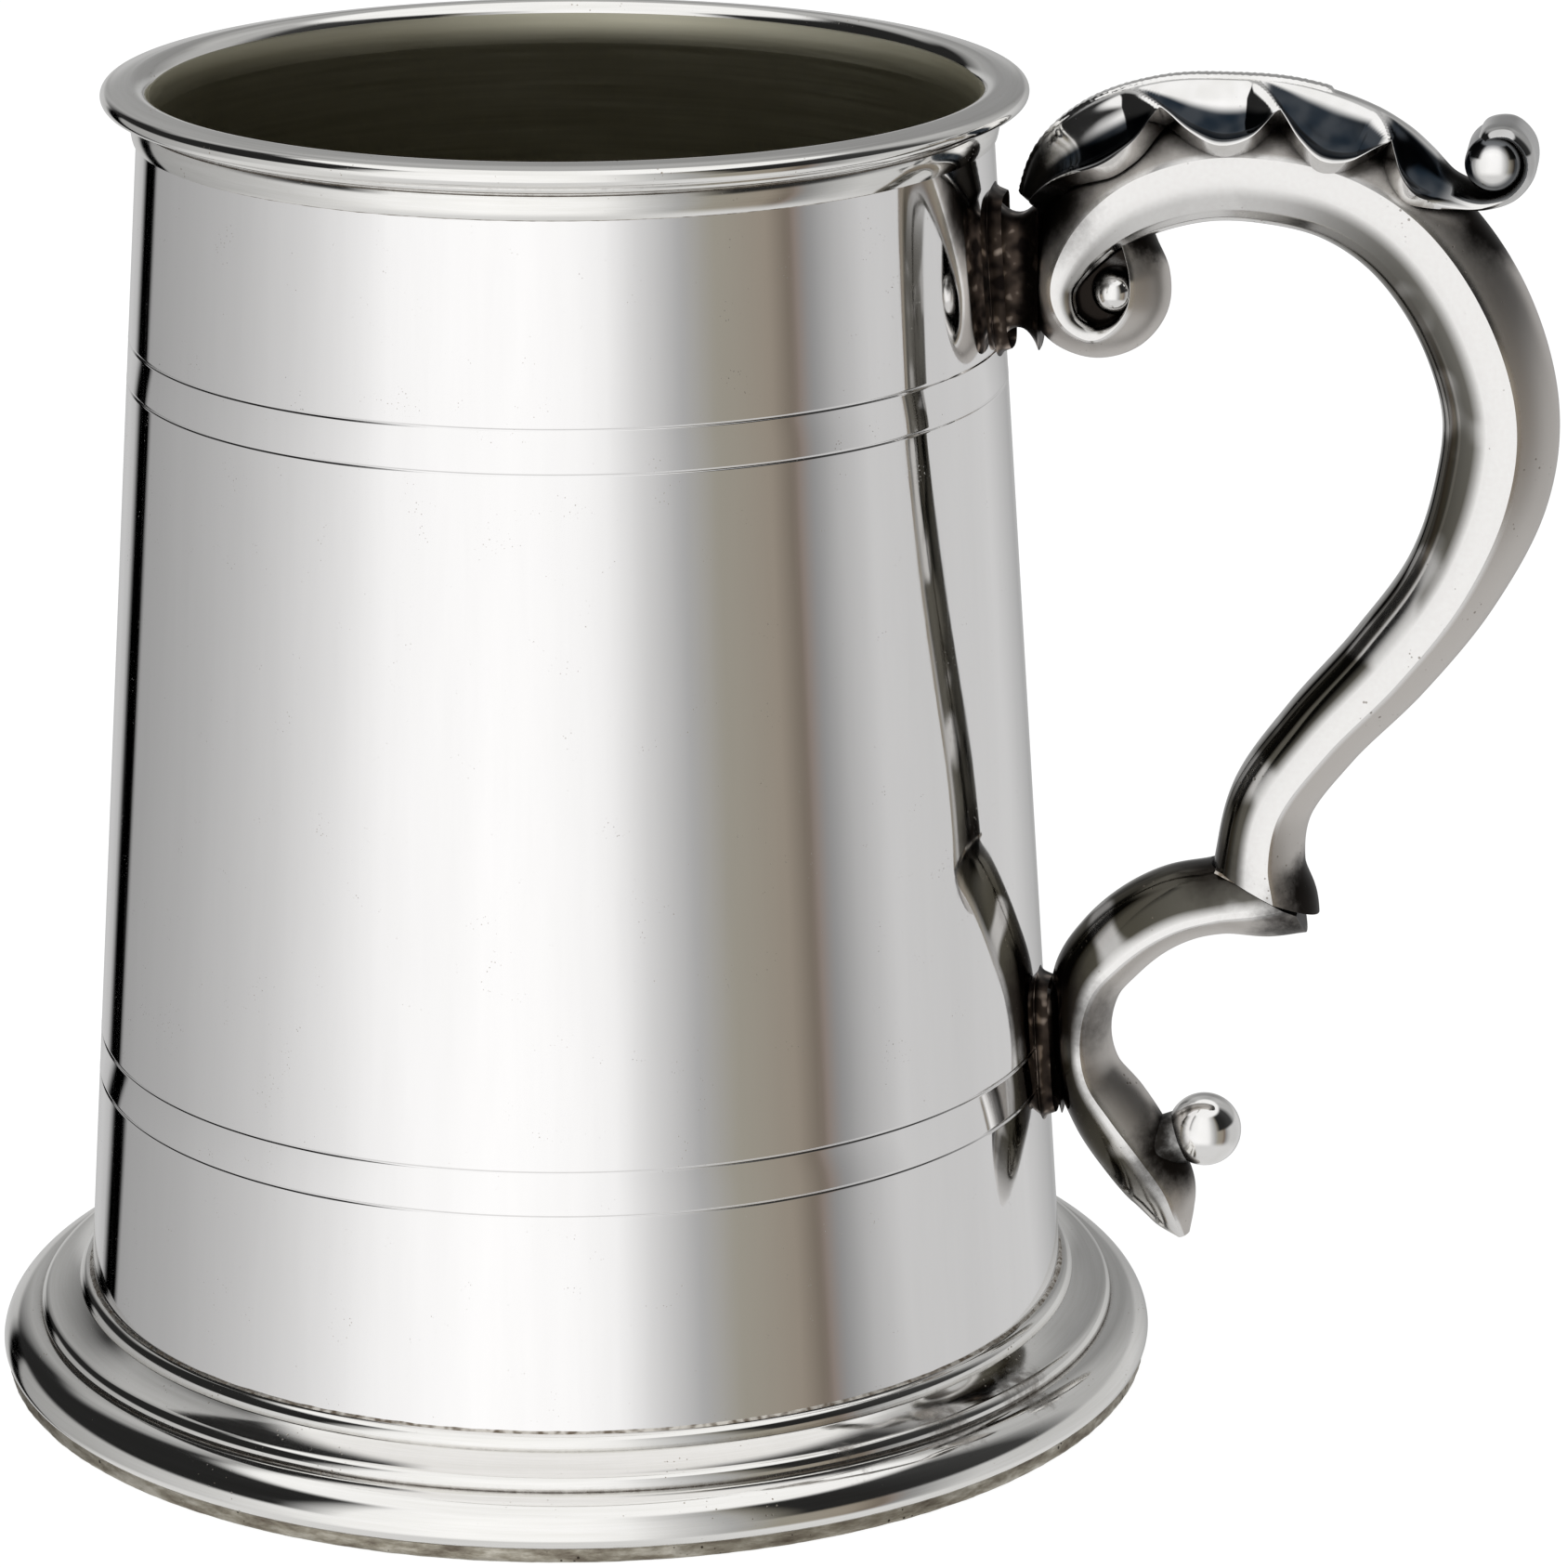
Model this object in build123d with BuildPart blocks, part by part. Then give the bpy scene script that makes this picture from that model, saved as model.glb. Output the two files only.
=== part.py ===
"""Pewter tankard: a tapered drinking pot with a moulded lip, a hollow stepped foot and a cast scroll handle.

Frame: the origin is on the pot's axis, in the plane that the foot stands on.
+Z is up and +X points from the axis to the handle. All sizes are millimetres.
"""
import os

from build123d import *

os.makedirs("parts", exist_ok=True)

# ---------------------------------------------------------------- driving dimensions
# drum: a hollow cone frustum, its radius given at the standing plane
DRUM_BASE_RADIUS = 46.69
DRUM_TAPER = 0.0667
DRUM_WALL = 1.2
DRUM_BOTTOM_Z = 7.2
DRUM_TOP_Z = 118.4
FLOOR_THICKNESS = 1.8
SCRIBED_LINE_Z = (28.96, 33.0, 95.2, 99.14)
SCRIBED_LINE_DEPTH = 0.12
SCRIBED_LINE_WIDTH = 0.3

# lip: heights and radii of its mouldings, from the lap on the drum to the flat top
LIP_LAP_Z = 117.25
LIP_LAP_WALL = 0.3
LIP_BAND_TOP = (39.2, 119.3)
LIP_COVE = (39.25, 119.62)
LIP_BEAD_TOP = (39.7, 120.1)
LIP_UNDERSIDE = (41.0, 120.45)
LIP_EDGE = (42.0, 121.25)
LIP_TOP_OUTER = (41.2, 122.05)
LIP_TOP_INNER = (39.6, 122.3)
MOUTH_EDGE = (38.3, 121.5)
MOUTH_THROAT = (37.85, 120.2)

# foot: corners of its steps, from the collar at the top to the dome's foot
FOOT_TOP_Z = 9.05
FOOT_COLLAR = (46.55, 9.05)
FOOT_CREASE = (47.25, 7.75)
FOOT_TIER_EDGE = (50.45, 6.65)
FOOT_STEP = (50.95, 5.4)
FOOT_DOME = (54.6, 2.5)
FOOT_INSIDE = (49.7, 4.2)
FOOT_LEDGE_RADIUS = 44.0
FOOT_LEDGE_Z = 6.0
EDGE_RING_HEIGHT = 1.4
EDGE_RING_RADIUS = 54.2
EDGE_RING_INNER_RADIUS = 52.4

# upper scroll, in the XZ plane; widths run along Y
UPPER_SPINE = [
    (46.4, 107.6),
    (51.2, 114.2),
    (60.5, 116.7),
    (70.8, 114.8),
    (80.0, 107.2),
    (85.3, 94.9),
    (83.6, 82.7),
    (75.9, 70.6),
    (67.4, 60.2),
    (64.4, 52.0),
    (64.0, 47.6),
]
UPPER_STATIONS = 25
UPPER_HALF_WIDTH = 5.0
UPPER_THICKNESS = 10.4
UPPER_THICKNESS_AT_BREAK = 7.8
SPUR_RISE = 1.3
VOLUTE_CENTRE = (48.7, 104.6)
VOLUTE_RADIUS = 6.6
VOLUTE_HALF_WIDTH = 4.6
VOLUTE_EYE = (50.4, 103.8)
VOLUTE_EYE_RADIUS = 3.3
VOLUTE_EYE_DEPTH = 1.9
VOLUTE_BEAD_RADIUS = 2.2

# the scrolls meet in a slanting plane, given by its inner and outer edge
BREAK_INNER = (60.7, 50.9)
BREAK_OUTER = (67.9, 47.4)
BREAK_GAP = 0.3
BREAK_SOLDER_LENGTH = 6.4

# lower scroll
LOWER_SPINE = [
    (61.2, 47.5),
    (56.6, 46.3),
    (51.2, 42.2),
    (48.4, 35.2),
    (48.8, 29.2),
    (52.0, 23.4),
    (57.0, 16.4),
]
LOWER_STATIONS = 15
LOWER_HALF_WIDTH = 4.2
LOWER_THICKNESS_AT_BREAK = 7.2
LOWER_THICKNESS_AT_TAIL = 5.2
BREAK_HEEL = [(60.4, 51.2), (67.0, 49.0), (66.3, 44.6), (62.4, 43.3), (59.5, 43.9)]
TAIL_TONGUE = [(54.2, 17.4), (57.7, 13.4), (59.7, 15.4), (60.1, 18.6), (57.6, 21.0)]
BALL_CENTRE = (59.6, 24.1)
BALL_RADIUS = 3.35
BALL_NECK_RADIUS = 1.9
BALL_NECK_SHARE = 0.86

# leaf on the top of the handle, between two shares of the upper scroll's length
LEAF_START = 0.03
LEAF_END = 0.36
LEAF_STATIONS = 11
LEAF_HALF_WIDTH = 6.2
LEAF_RISE = 2.3
CURL_HALF_WIDTH = 4.2
CURL_UNDERSIDE = [(79.0, 113.4), (84.6, 112.7), (87.9, 117.4)]
CURL_TIP = [(87.9, 117.4), (87.3, 120.0), (85.2, 120.9)]
CURL_EYE = [(84.9, 119.66), (86.2, 118.84), (86.59, 117.5)]
CURL_DISH = [(86.59, 117.5), (84.6, 114.4), (81.6, 115.2)]
CURL_ROOT = [(81.6, 115.2), (77.6, 119.6), (75.0, 114.5), (79.0, 113.4)]
LEAF_BEAD_CENTRE = (84.5, 117.6)
LEAF_BEAD_RADIUS = 2.1
LEAF_BEAD_HALF_LENGTH = 4.6

# lugs between the drum and the scrolls, and the solder round them
UPPER_LUG_Z = (98.7, 113.0)
UPPER_LUG_HALF_WIDTH = 3.6
UPPER_LUG_REACH = 46.0
LOWER_LUG_Z = (25.7, 38.7)
LOWER_LUG_HALF_WIDTH = 3.2
LOWER_LUG_REACH = 47.5
LUG_ROUNDING = 0.6
SOLDER_SIZE = 0.5
LIP_SOLDER_SIZE = 0.28
FOOT_SOLDER_SIZE = 0.4


# ---------------------------------------------------------------- shared geometry
def drum_radius(z):
    """Outer radius of the drum at height z."""
    return DRUM_BASE_RADIUS - DRUM_TAPER * z


def drum_inner_radius(z):
    """Inner radius of the drum at height z."""
    return drum_radius(z) - DRUM_WALL


def blend(first, last, share):
    """Value that runs from first to last as share runs from 0 to 1."""
    return first + (last - first) * share


def past(share, start):
    """0 up to the start share, then rising to 1 at the end of the length."""
    return max(0, (share - start) / (1 - start))


def in_handle_plane(points):
    """Points of the XZ plane as vectors."""
    return [Vector(x, 0, z) for x, z in points]


def station(path, share):
    """Plane across a path, with its x along +Y and its y towards the outside of the upper loop."""
    return Plane(origin=path @ share, x_dir=(0, 1, 0), z_dir=path % share)


def handle_section(thickness, half_width, rise=0):
    """Corners of a scroll's section: x across the handle, y outward.

    The outward side is a low ridge between two arrises, and the inward side has two bevels.
    The ridge stands higher by the given rise.
    """
    half = thickness / 2
    crown = half + rise
    shoulder = half - 0.11 * thickness + 0.8 * rise
    arris = half - 0.37 * thickness
    bevel = -half + 0.17 * thickness
    return [
        (0, crown),
        (0.6 * half_width, shoulder),
        (half_width, arris),
        (half_width, bevel),
        (0.62 * half_width, -half),
        (-0.62 * half_width, -half),
        (-half_width, bevel),
        (-half_width, arris),
        (-0.6 * half_width, shoulder),
    ]


def leaf_section(half_width):
    """Corners of the leaf's section: y is 0 on the handle's crown, and the edges hang below it."""
    return [
        (0, LEAF_RISE),
        (0.62 * half_width, 0.62 * LEAF_RISE),
        (half_width, -0.55 * LEAF_RISE),
        (0.97 * half_width, -1.6 * LEAF_RISE),
        (-0.97 * half_width, -1.6 * LEAF_RISE),
        (-half_width, -0.55 * LEAF_RISE),
        (-0.62 * half_width, 0.62 * LEAF_RISE),
    ]


def lug_side(heights, reach, margin=0):
    """Side view of a lug, from inside the drum's wall out to the scroll that it carries."""
    low = heights[0] - margin
    high = heights[1] + margin
    start = drum_radius(high) - DRUM_WALL
    return [(start, low), (reach, low), (reach, high), (start, high)]


def seam(radius, z, size, rise):
    """Triangular run of solder between a wall that tapers like the drum and a level face."""
    return [(radius, z), (radius + size, z), (radius - DRUM_TAPER * rise, z + rise)]


floor_top_z = DRUM_BOTTOM_Z + FLOOR_THICKNESS

# solid cones that the lugs and their solder are cut to
drum_envelope = Solid.make_cone(drum_radius(0), drum_radius(DRUM_TOP_Z), DRUM_TOP_Z)
solder_envelope = Solid.make_cone(
    drum_radius(0) + SOLDER_SIZE, drum_radius(DRUM_TOP_Z) + SOLDER_SIZE, DRUM_TOP_Z
)

# centre lines of the scrolls, and the plane of the break with its normal down towards the lower scroll
upper_spine = Spline(*in_handle_plane(UPPER_SPINE), mode=Mode.PRIVATE)
lower_spine = Spline(*in_handle_plane(LOWER_SPINE), mode=Mode.PRIVATE)
break_inner, break_outer = in_handle_plane([BREAK_INNER, BREAK_OUTER])
break_plane = Plane(origin=break_inner, x_dir=(0, 1, 0), z_dir=Vector(0, 1, 0).cross(break_outer - break_inner))

# ---------------------------------------------------------------- pot
with BuildPart() as body_drum:
    with BuildSketch(Plane.XZ):
        Polygon(
            (drum_inner_radius(DRUM_BOTTOM_Z), DRUM_BOTTOM_Z),
            (drum_radius(DRUM_BOTTOM_Z), DRUM_BOTTOM_Z),
            (drum_radius(DRUM_TOP_Z), DRUM_TOP_Z),
            (drum_inner_radius(DRUM_TOP_Z), DRUM_TOP_Z),
            align=None,
        )
    revolve(axis=Axis.Z)
    # fine lines turned into the outside
    with BuildSketch(Plane.XZ):
        with Locations([(drum_radius(line_z), line_z) for line_z in SCRIBED_LINE_Z]):
            Rectangle(2 * SCRIBED_LINE_DEPTH, SCRIBED_LINE_WIDTH)
    revolve(axis=Axis.Z, mode=Mode.SUBTRACT)
body_drum.part.label = "body_drum"
export_step(body_drum.part, "parts/body_drum.step")

# the cup's floor: a disc with a tapered edge, on the foot's ledge and inside the drum's lower end
with BuildPart() as base_disc:
    with BuildSketch(Plane.XZ):
        Polygon(
            (0, DRUM_BOTTOM_Z),
            (drum_inner_radius(DRUM_BOTTOM_Z), DRUM_BOTTOM_Z),
            (drum_inner_radius(floor_top_z), floor_top_z),
            (0, floor_top_z),
            align=None,
        )
    revolve(axis=Axis.Z)
base_disc.part.label = "base_disc"
export_step(base_disc.part, "parts/base_disc.step")

# lip: a convex band lapped over the drum's top edge, a cove, a bead and a rounded flat-topped rim
with BuildPart() as rim_mount:
    with BuildSketch(Plane.XZ):
        with BuildLine():
            lap_inner = (drum_radius(LIP_LAP_Z), LIP_LAP_Z)
            lap_outer = (drum_radius(LIP_LAP_Z) + LIP_LAP_WALL, LIP_LAP_Z)
            seat_outer = (drum_radius(DRUM_TOP_Z), DRUM_TOP_Z)
            seat_inner = (drum_inner_radius(DRUM_TOP_Z), DRUM_TOP_Z)
            ThreePointArc(lap_outer, (39.32, 118.3), LIP_BAND_TOP)
            RadiusArc(LIP_BAND_TOP, LIP_COVE, -0.22)
            RadiusArc(LIP_COVE, LIP_BEAD_TOP, 0.42)
            Line(LIP_BEAD_TOP, LIP_UNDERSIDE)
            ThreePointArc(LIP_UNDERSIDE, LIP_EDGE, LIP_TOP_OUTER)
            Line(LIP_TOP_OUTER, LIP_TOP_INNER)
            ThreePointArc(LIP_TOP_INNER, (38.75, 122.15), MOUTH_EDGE)
            Polyline(MOUTH_EDGE, MOUTH_THROAT, seat_inner, seat_outer, lap_inner, lap_outer)
        make_face()
    revolve(axis=Axis.Z)
rim_mount.part.label = "rim_mount"
export_step(rim_mount.part, "parts/rim_mount.step")

# foot: a hollow stepped moulding, with a collar round the drum and a ledge under it
with BuildPart() as foot_ring:
    with BuildSketch(Plane.XZ):
        with BuildLine():
            ring_seat = (EDGE_RING_RADIUS, EDGE_RING_HEIGHT)
            ring_inside = (52.9, EDGE_RING_HEIGHT)
            ThreePointArc(FOOT_COLLAR, (47.15, 8.45), FOOT_CREASE)
            ThreePointArc(FOOT_CREASE, (48.5, 7.0), FOOT_TIER_EDGE)
            ThreePointArc(FOOT_TIER_EDGE, (50.85, 6.2), FOOT_STEP)
            ThreePointArc(FOOT_STEP, (53.75, 4.35), FOOT_DOME)
            ThreePointArc(FOOT_DOME, (54.5, 1.85), ring_seat)
            Line(ring_seat, ring_inside)
            ThreePointArc(ring_inside, (52.3, 3.3), FOOT_INSIDE)
            Polyline(
                FOOT_INSIDE,
                (49.3, 5.3),
                (46.9, FOOT_LEDGE_Z),
                (FOOT_LEDGE_RADIUS, FOOT_LEDGE_Z),
                (FOOT_LEDGE_RADIUS, DRUM_BOTTOM_Z),
                (drum_radius(DRUM_BOTTOM_Z), DRUM_BOTTOM_Z),
                (drum_radius(FOOT_TOP_Z), FOOT_TOP_Z),
                FOOT_COLLAR,
            )
        make_face()
    revolve(axis=Axis.Z)
foot_ring.part.label = "foot_ring"
export_step(foot_ring.part, "parts/foot_ring.step")

# square edge that the foot stands on
with BuildPart() as foot_edge_ring:
    with BuildSketch():
        Circle(EDGE_RING_RADIUS)
        Circle(EDGE_RING_INNER_RADIUS, mode=Mode.SUBTRACT)
    extrude(amount=EDGE_RING_HEIGHT)
    chamfer(foot_edge_ring.edges().group_by(Axis.Z)[0], length=0.15)
foot_edge_ring.part.label = "foot_edge_ring"
export_step(foot_edge_ring.part, "parts/foot_edge_ring.step")

# ---------------------------------------------------------------- scrolls
with BuildPart() as upper_scroll:
    for index in range(UPPER_STATIONS):
        share = index / (UPPER_STATIONS - 1)
        thickness = blend(UPPER_THICKNESS, UPPER_THICKNESS_AT_BREAK, past(share, 0.5))
        # the outward side flares into a spur at the break
        rise = SPUR_RISE * past(share, 0.85) ** 2
        with BuildSketch(station(upper_spine, share)):
            Polygon(*handle_section(thickness, UPPER_HALF_WIDTH, rise), align=None)
    loft()
    split(bisect_by=break_plane, keep=Keep.BOTTOM)
    # the volute that ends the scroll beside the drum
    with BuildSketch(Plane.XZ):
        with Locations(VOLUTE_CENTRE):
            Circle(VOLUTE_RADIUS)
    extrude(amount=VOLUTE_HALF_WIDTH, both=True)
    # its eye is sunk on both sides
    for side in (1, -1):
        with BuildSketch(Plane.XZ.offset(side * UPPER_HALF_WIDTH)):
            with Locations(VOLUTE_EYE):
                Circle(VOLUTE_EYE_RADIUS)
        extrude(amount=-side * (UPPER_HALF_WIDTH - VOLUTE_HALF_WIDTH + VOLUTE_EYE_DEPTH), mode=Mode.SUBTRACT)
upper_scroll.part.label = "upper_scroll"
export_step(upper_scroll.part, "parts/upper_scroll.step")

with BuildPart() as lower_scroll:
    for index in range(LOWER_STATIONS):
        share = index / (LOWER_STATIONS - 1)
        thickness = blend(LOWER_THICKNESS_AT_BREAK, LOWER_THICKNESS_AT_TAIL, share**0.6)
        half_width = LOWER_HALF_WIDTH * blend(1, 0.45, past(share, 0.75) ** 2)
        with BuildSketch(station(lower_spine, share)):
            Polygon(*handle_section(thickness, half_width), align=None)
    loft()
    # the flared heel under the break and the pointed tongue of the tail
    with BuildSketch(Plane.XZ):
        Polygon(*BREAK_HEEL, align=None)
    extrude(amount=0.8 * LOWER_HALF_WIDTH, both=True)
    with BuildSketch(Plane.XZ):
        Polygon(*TAIL_TONGUE, align=None)
    extrude(amount=0.6 * LOWER_HALF_WIDTH, both=True)
    # trimmed a solder gap below the upper scroll's end
    split(bisect_by=break_plane.offset(BREAK_GAP), keep=Keep.TOP)
lower_scroll.part.label = "lower_scroll"
export_step(lower_scroll.part, "parts/lower_scroll.step")

# ball on the tail, on a short neck that is let into the scroll
with BuildPart() as tail_ball:
    ball_centre = Vector(BALL_CENTRE[0], 0, BALL_CENTRE[1])
    neck_start = lower_spine @ BALL_NECK_SHARE
    with Locations(ball_centre):
        Sphere(BALL_RADIUS)
    with BuildSketch(Plane(origin=neck_start, z_dir=ball_centre - neck_start)):
        Circle(BALL_NECK_RADIUS)
    extrude(amount=BALL_RADIUS)
    add(lower_scroll.part, mode=Mode.SUBTRACT)
tail_ball.part.label = "tail_ball"
export_step(tail_ball.part, "parts/tail_ball.step")

# domed beads in both sides of the volute's eye
with BuildPart() as volute_beads:
    for side in (1, -1):
        with Locations((VOLUTE_EYE[0], side * (VOLUTE_HALF_WIDTH - VOLUTE_EYE_DEPTH), VOLUTE_EYE[1])):
            Sphere(VOLUTE_BEAD_RADIUS)
    add(upper_scroll.part, mode=Mode.SUBTRACT)
volute_beads.part.label = "volute_beads"
export_step(volute_beads.part, "parts/volute_beads.step")

# ---------------------------------------------------------------- leaf
# a cap draped over the crown of the upper scroll, ending in a curl that turns up off the handle
with BuildPart() as thumb_leaf:
    for index in range(LEAF_STATIONS):
        share = index / (LEAF_STATIONS - 1)
        across = station(upper_spine, blend(LEAF_START, LEAF_END, share))
        crown = across.origin + across.y_dir * (UPPER_THICKNESS / 2)
        width = LEAF_HALF_WIDTH * (1 - 0.14 * (2 * share - 1) ** 2)
        with BuildSketch(Plane(origin=crown, x_dir=across.x_dir, z_dir=across.z_dir)):
            Polygon(*leaf_section(width), align=None)
    loft()
    with BuildSketch(Plane.XZ):
        with BuildLine():
            ThreePointArc(*CURL_UNDERSIDE)
            ThreePointArc(*CURL_TIP)
            Line(CURL_TIP[-1], CURL_EYE[0])
            ThreePointArc(*CURL_EYE)
            ThreePointArc(*CURL_DISH)
            Polyline(*CURL_ROOT)
        make_face()
    extrude(amount=CURL_HALF_WIDTH, both=True)
    add(upper_scroll.part, mode=Mode.SUBTRACT)
thumb_leaf.part.label = "thumb_leaf"
export_step(thumb_leaf.part, "parts/thumb_leaf.step")

# bead rolled up in the curl, its domed ends a little proud of both sides
with BuildPart() as leaf_bead:
    with BuildSketch(Plane.XZ):
        with Locations(LEAF_BEAD_CENTRE):
            Circle(LEAF_BEAD_RADIUS)
    extrude(amount=LEAF_BEAD_HALF_LENGTH, both=True)
    fillet(leaf_bead.edges().filter_by(GeomType.CIRCLE), radius=0.7 * LEAF_BEAD_RADIUS)
    add(thumb_leaf.part, mode=Mode.SUBTRACT)
leaf_bead.part.label = "leaf_bead"
export_step(leaf_bead.part, "parts/leaf_bead.step")

# ---------------------------------------------------------------- lugs
with BuildPart() as upper_lug:
    with BuildSketch(Plane.XZ):
        Polygon(*lug_side(UPPER_LUG_Z, UPPER_LUG_REACH), align=None)
    extrude(amount=UPPER_LUG_HALF_WIDTH, both=True)
    fillet(upper_lug.edges().filter_by(Axis.X), radius=LUG_ROUNDING * UPPER_LUG_HALF_WIDTH)
    add(drum_envelope, mode=Mode.SUBTRACT)
    add(upper_scroll.part, mode=Mode.SUBTRACT)
    add(thumb_leaf.part, mode=Mode.SUBTRACT)
upper_lug.part.label = "upper_lug"
export_step(upper_lug.part, "parts/upper_lug.step")

with BuildPart() as lower_lug:
    with BuildSketch(Plane.XZ):
        Polygon(*lug_side(LOWER_LUG_Z, LOWER_LUG_REACH), align=None)
    extrude(amount=LOWER_LUG_HALF_WIDTH, both=True)
    fillet(lower_lug.edges().filter_by(Axis.X), radius=LUG_ROUNDING * LOWER_LUG_HALF_WIDTH)
    add(drum_envelope, mode=Mode.SUBTRACT)
    add(lower_scroll.part, mode=Mode.SUBTRACT)
lower_lug.part.label = "lower_lug"
export_step(lower_lug.part, "parts/lower_lug.step")

# ---------------------------------------------------------------- solder
# a run under the lip's lap
with BuildPart() as rim_solder:
    with BuildSketch(Plane.XZ):
        Polygon(*seam(drum_radius(LIP_LAP_Z), LIP_LAP_Z, LIP_SOLDER_SIZE, -SOLDER_SIZE), align=None)
    revolve(axis=Axis.Z)
rim_solder.part.label = "rim_solder"
export_step(rim_solder.part, "parts/rim_solder.step")

# a run on top of the foot's collar
with BuildPart() as foot_solder:
    with BuildSketch(Plane.XZ):
        Polygon(*seam(drum_radius(FOOT_TOP_Z), FOOT_TOP_Z, FOOT_SOLDER_SIZE, SOLDER_SIZE), align=None)
    revolve(axis=Axis.Z)
foot_solder.part.label = "foot_solder"
export_step(foot_solder.part, "parts/foot_solder.step")

# a run round the cup's floor
with BuildPart() as floor_solder:
    with BuildSketch(Plane.XZ):
        Polygon(*seam(drum_inner_radius(floor_top_z), floor_top_z, -SOLDER_SIZE, SOLDER_SIZE), align=None)
    revolve(axis=Axis.Z)
floor_solder.part.label = "floor_solder"
export_step(floor_solder.part, "parts/floor_solder.step")

# thin collars round the lugs, following the drum's outside
with BuildPart() as upper_lug_solder:
    with BuildSketch(Plane.XZ):
        Polygon(*lug_side(UPPER_LUG_Z, UPPER_LUG_REACH, SOLDER_SIZE), align=None)
    extrude(amount=UPPER_LUG_HALF_WIDTH + SOLDER_SIZE, both=True)
    fillet(upper_lug_solder.edges().filter_by(Axis.X), radius=LUG_ROUNDING * UPPER_LUG_HALF_WIDTH)
    add(solder_envelope, mode=Mode.INTERSECT)
    add(drum_envelope, mode=Mode.SUBTRACT)
    add(upper_lug.part, mode=Mode.SUBTRACT)
upper_lug_solder.part.label = "upper_lug_solder"
export_step(upper_lug_solder.part, "parts/upper_lug_solder.step")

with BuildPart() as lower_lug_solder:
    with BuildSketch(Plane.XZ):
        Polygon(*lug_side(LOWER_LUG_Z, LOWER_LUG_REACH, SOLDER_SIZE), align=None)
    extrude(amount=LOWER_LUG_HALF_WIDTH + SOLDER_SIZE, both=True)
    fillet(lower_lug_solder.edges().filter_by(Axis.X), radius=LUG_ROUNDING * LOWER_LUG_HALF_WIDTH)
    add(solder_envelope, mode=Mode.INTERSECT)
    add(drum_envelope, mode=Mode.SUBTRACT)
    add(lower_lug.part, mode=Mode.SUBTRACT)
lower_lug_solder.part.label = "lower_lug_solder"
export_step(lower_lug_solder.part, "parts/lower_lug_solder.step")

# a wafer between the two scrolls
with BuildPart() as break_solder:
    with BuildSketch(break_plane):
        Rectangle(1.6 * LOWER_HALF_WIDTH, BREAK_SOLDER_LENGTH, align=(Align.CENTER, Align.MIN))
    extrude(amount=BREAK_GAP)
break_solder.part.label = "break_solder"
export_step(break_solder.part, "parts/break_solder.step")
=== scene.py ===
# %% [markdown]
# # A pewter tankard, turned, cast and polished
#
# This lesson builds the visible surfaces of a one-pint pewter tankard around a finished CAD model. The
# CAD model, called the frame here, says how big everything is and where it sits. Nothing in it is moved.
# Each real piece of metal gets its own mesh: the pot and its mouldings are turned on a lathe, so they
# are outlines spun round an axis, and the handle is cast, so it is a section carried along a curve.

# %% Load the frame
import math

import bmesh
import bpy
import numpy as np
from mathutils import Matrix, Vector, noise


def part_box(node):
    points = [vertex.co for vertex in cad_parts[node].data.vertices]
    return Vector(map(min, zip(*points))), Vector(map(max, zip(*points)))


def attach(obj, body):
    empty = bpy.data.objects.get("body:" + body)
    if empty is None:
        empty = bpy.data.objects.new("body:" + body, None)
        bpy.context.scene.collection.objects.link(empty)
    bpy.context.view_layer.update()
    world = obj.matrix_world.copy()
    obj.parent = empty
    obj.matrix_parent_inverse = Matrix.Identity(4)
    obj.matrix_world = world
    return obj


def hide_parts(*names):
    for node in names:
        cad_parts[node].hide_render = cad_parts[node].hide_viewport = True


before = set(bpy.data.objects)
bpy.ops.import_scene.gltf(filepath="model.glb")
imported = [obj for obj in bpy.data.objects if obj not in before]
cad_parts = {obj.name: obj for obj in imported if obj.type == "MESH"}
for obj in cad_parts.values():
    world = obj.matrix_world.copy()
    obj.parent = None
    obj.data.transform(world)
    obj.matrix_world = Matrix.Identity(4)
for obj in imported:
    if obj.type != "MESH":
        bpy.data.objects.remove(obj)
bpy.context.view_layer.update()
MM = 0.001
print("nodes in the frame:", len(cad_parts))


def frame_mm(node):
    """Lowest and highest corner of a frame node, in millimetres."""
    low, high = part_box(node)
    return low / MM, high / MM


# %% [markdown]
# ## Camera
#
# A product picture of a tankard is taken with a long lens from a little above the rim, so the mouth
# shows as a narrow ellipse and the sides stay almost straight. The camera looks along +Y, turned nine
# degrees to the left, so that the handle at +X comes a little towards it.

# %% Place the camera
CAMERA_PLACE = (0.1105, -0.5715, 0.2326)
CAMERA_YAW = 9.0
CAMERA_PITCH = -16.95
CAMERA_LENS = 149.3

camera_data = bpy.data.cameras.new("studio_camera")
camera_data.lens = CAMERA_LENS
camera_data.sensor_width = 36.0
camera = bpy.data.objects.new("studio_camera", camera_data)
camera.location = CAMERA_PLACE
camera.rotation_euler = (math.radians(90 + CAMERA_PITCH), 0, math.radians(CAMERA_YAW))
bpy.context.scene.collection.objects.link(camera)
bpy.context.scene.camera = camera
bpy.context.scene.view_settings.view_transform = "Standard"
print("camera at", CAMERA_PLACE)

# %% [markdown]
# ## Studio
#
# Polished pewter has hardly any colour of its own: what we see is the room. So the studio is designed
# as carefully as the metal. It is one world shader that gives a brightness for every direction. Around
# the pot stand pale panels with one narrow black flag at the left rear and darker gaps at the right, and
# a softbox hangs overhead. A colour ramp over the compass angle makes the panels, a second one over the
# height angle makes the dark band between panels and softbox. The camera itself sees plain white.


# %% Node helpers
def new_node(tree, kind, **settings):
    """Adds a shader node and sets the given properties on it."""
    node = tree.nodes.new(kind)
    for key, value in settings.items():
        setattr(node, key, value)
    return node


def feed(tree, value, socket):
    """Links a socket, or sets a plain value, into an input socket."""
    if isinstance(value, bpy.types.NodeSocket):
        tree.links.new(value, socket)
    else:
        socket.default_value = value


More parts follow.
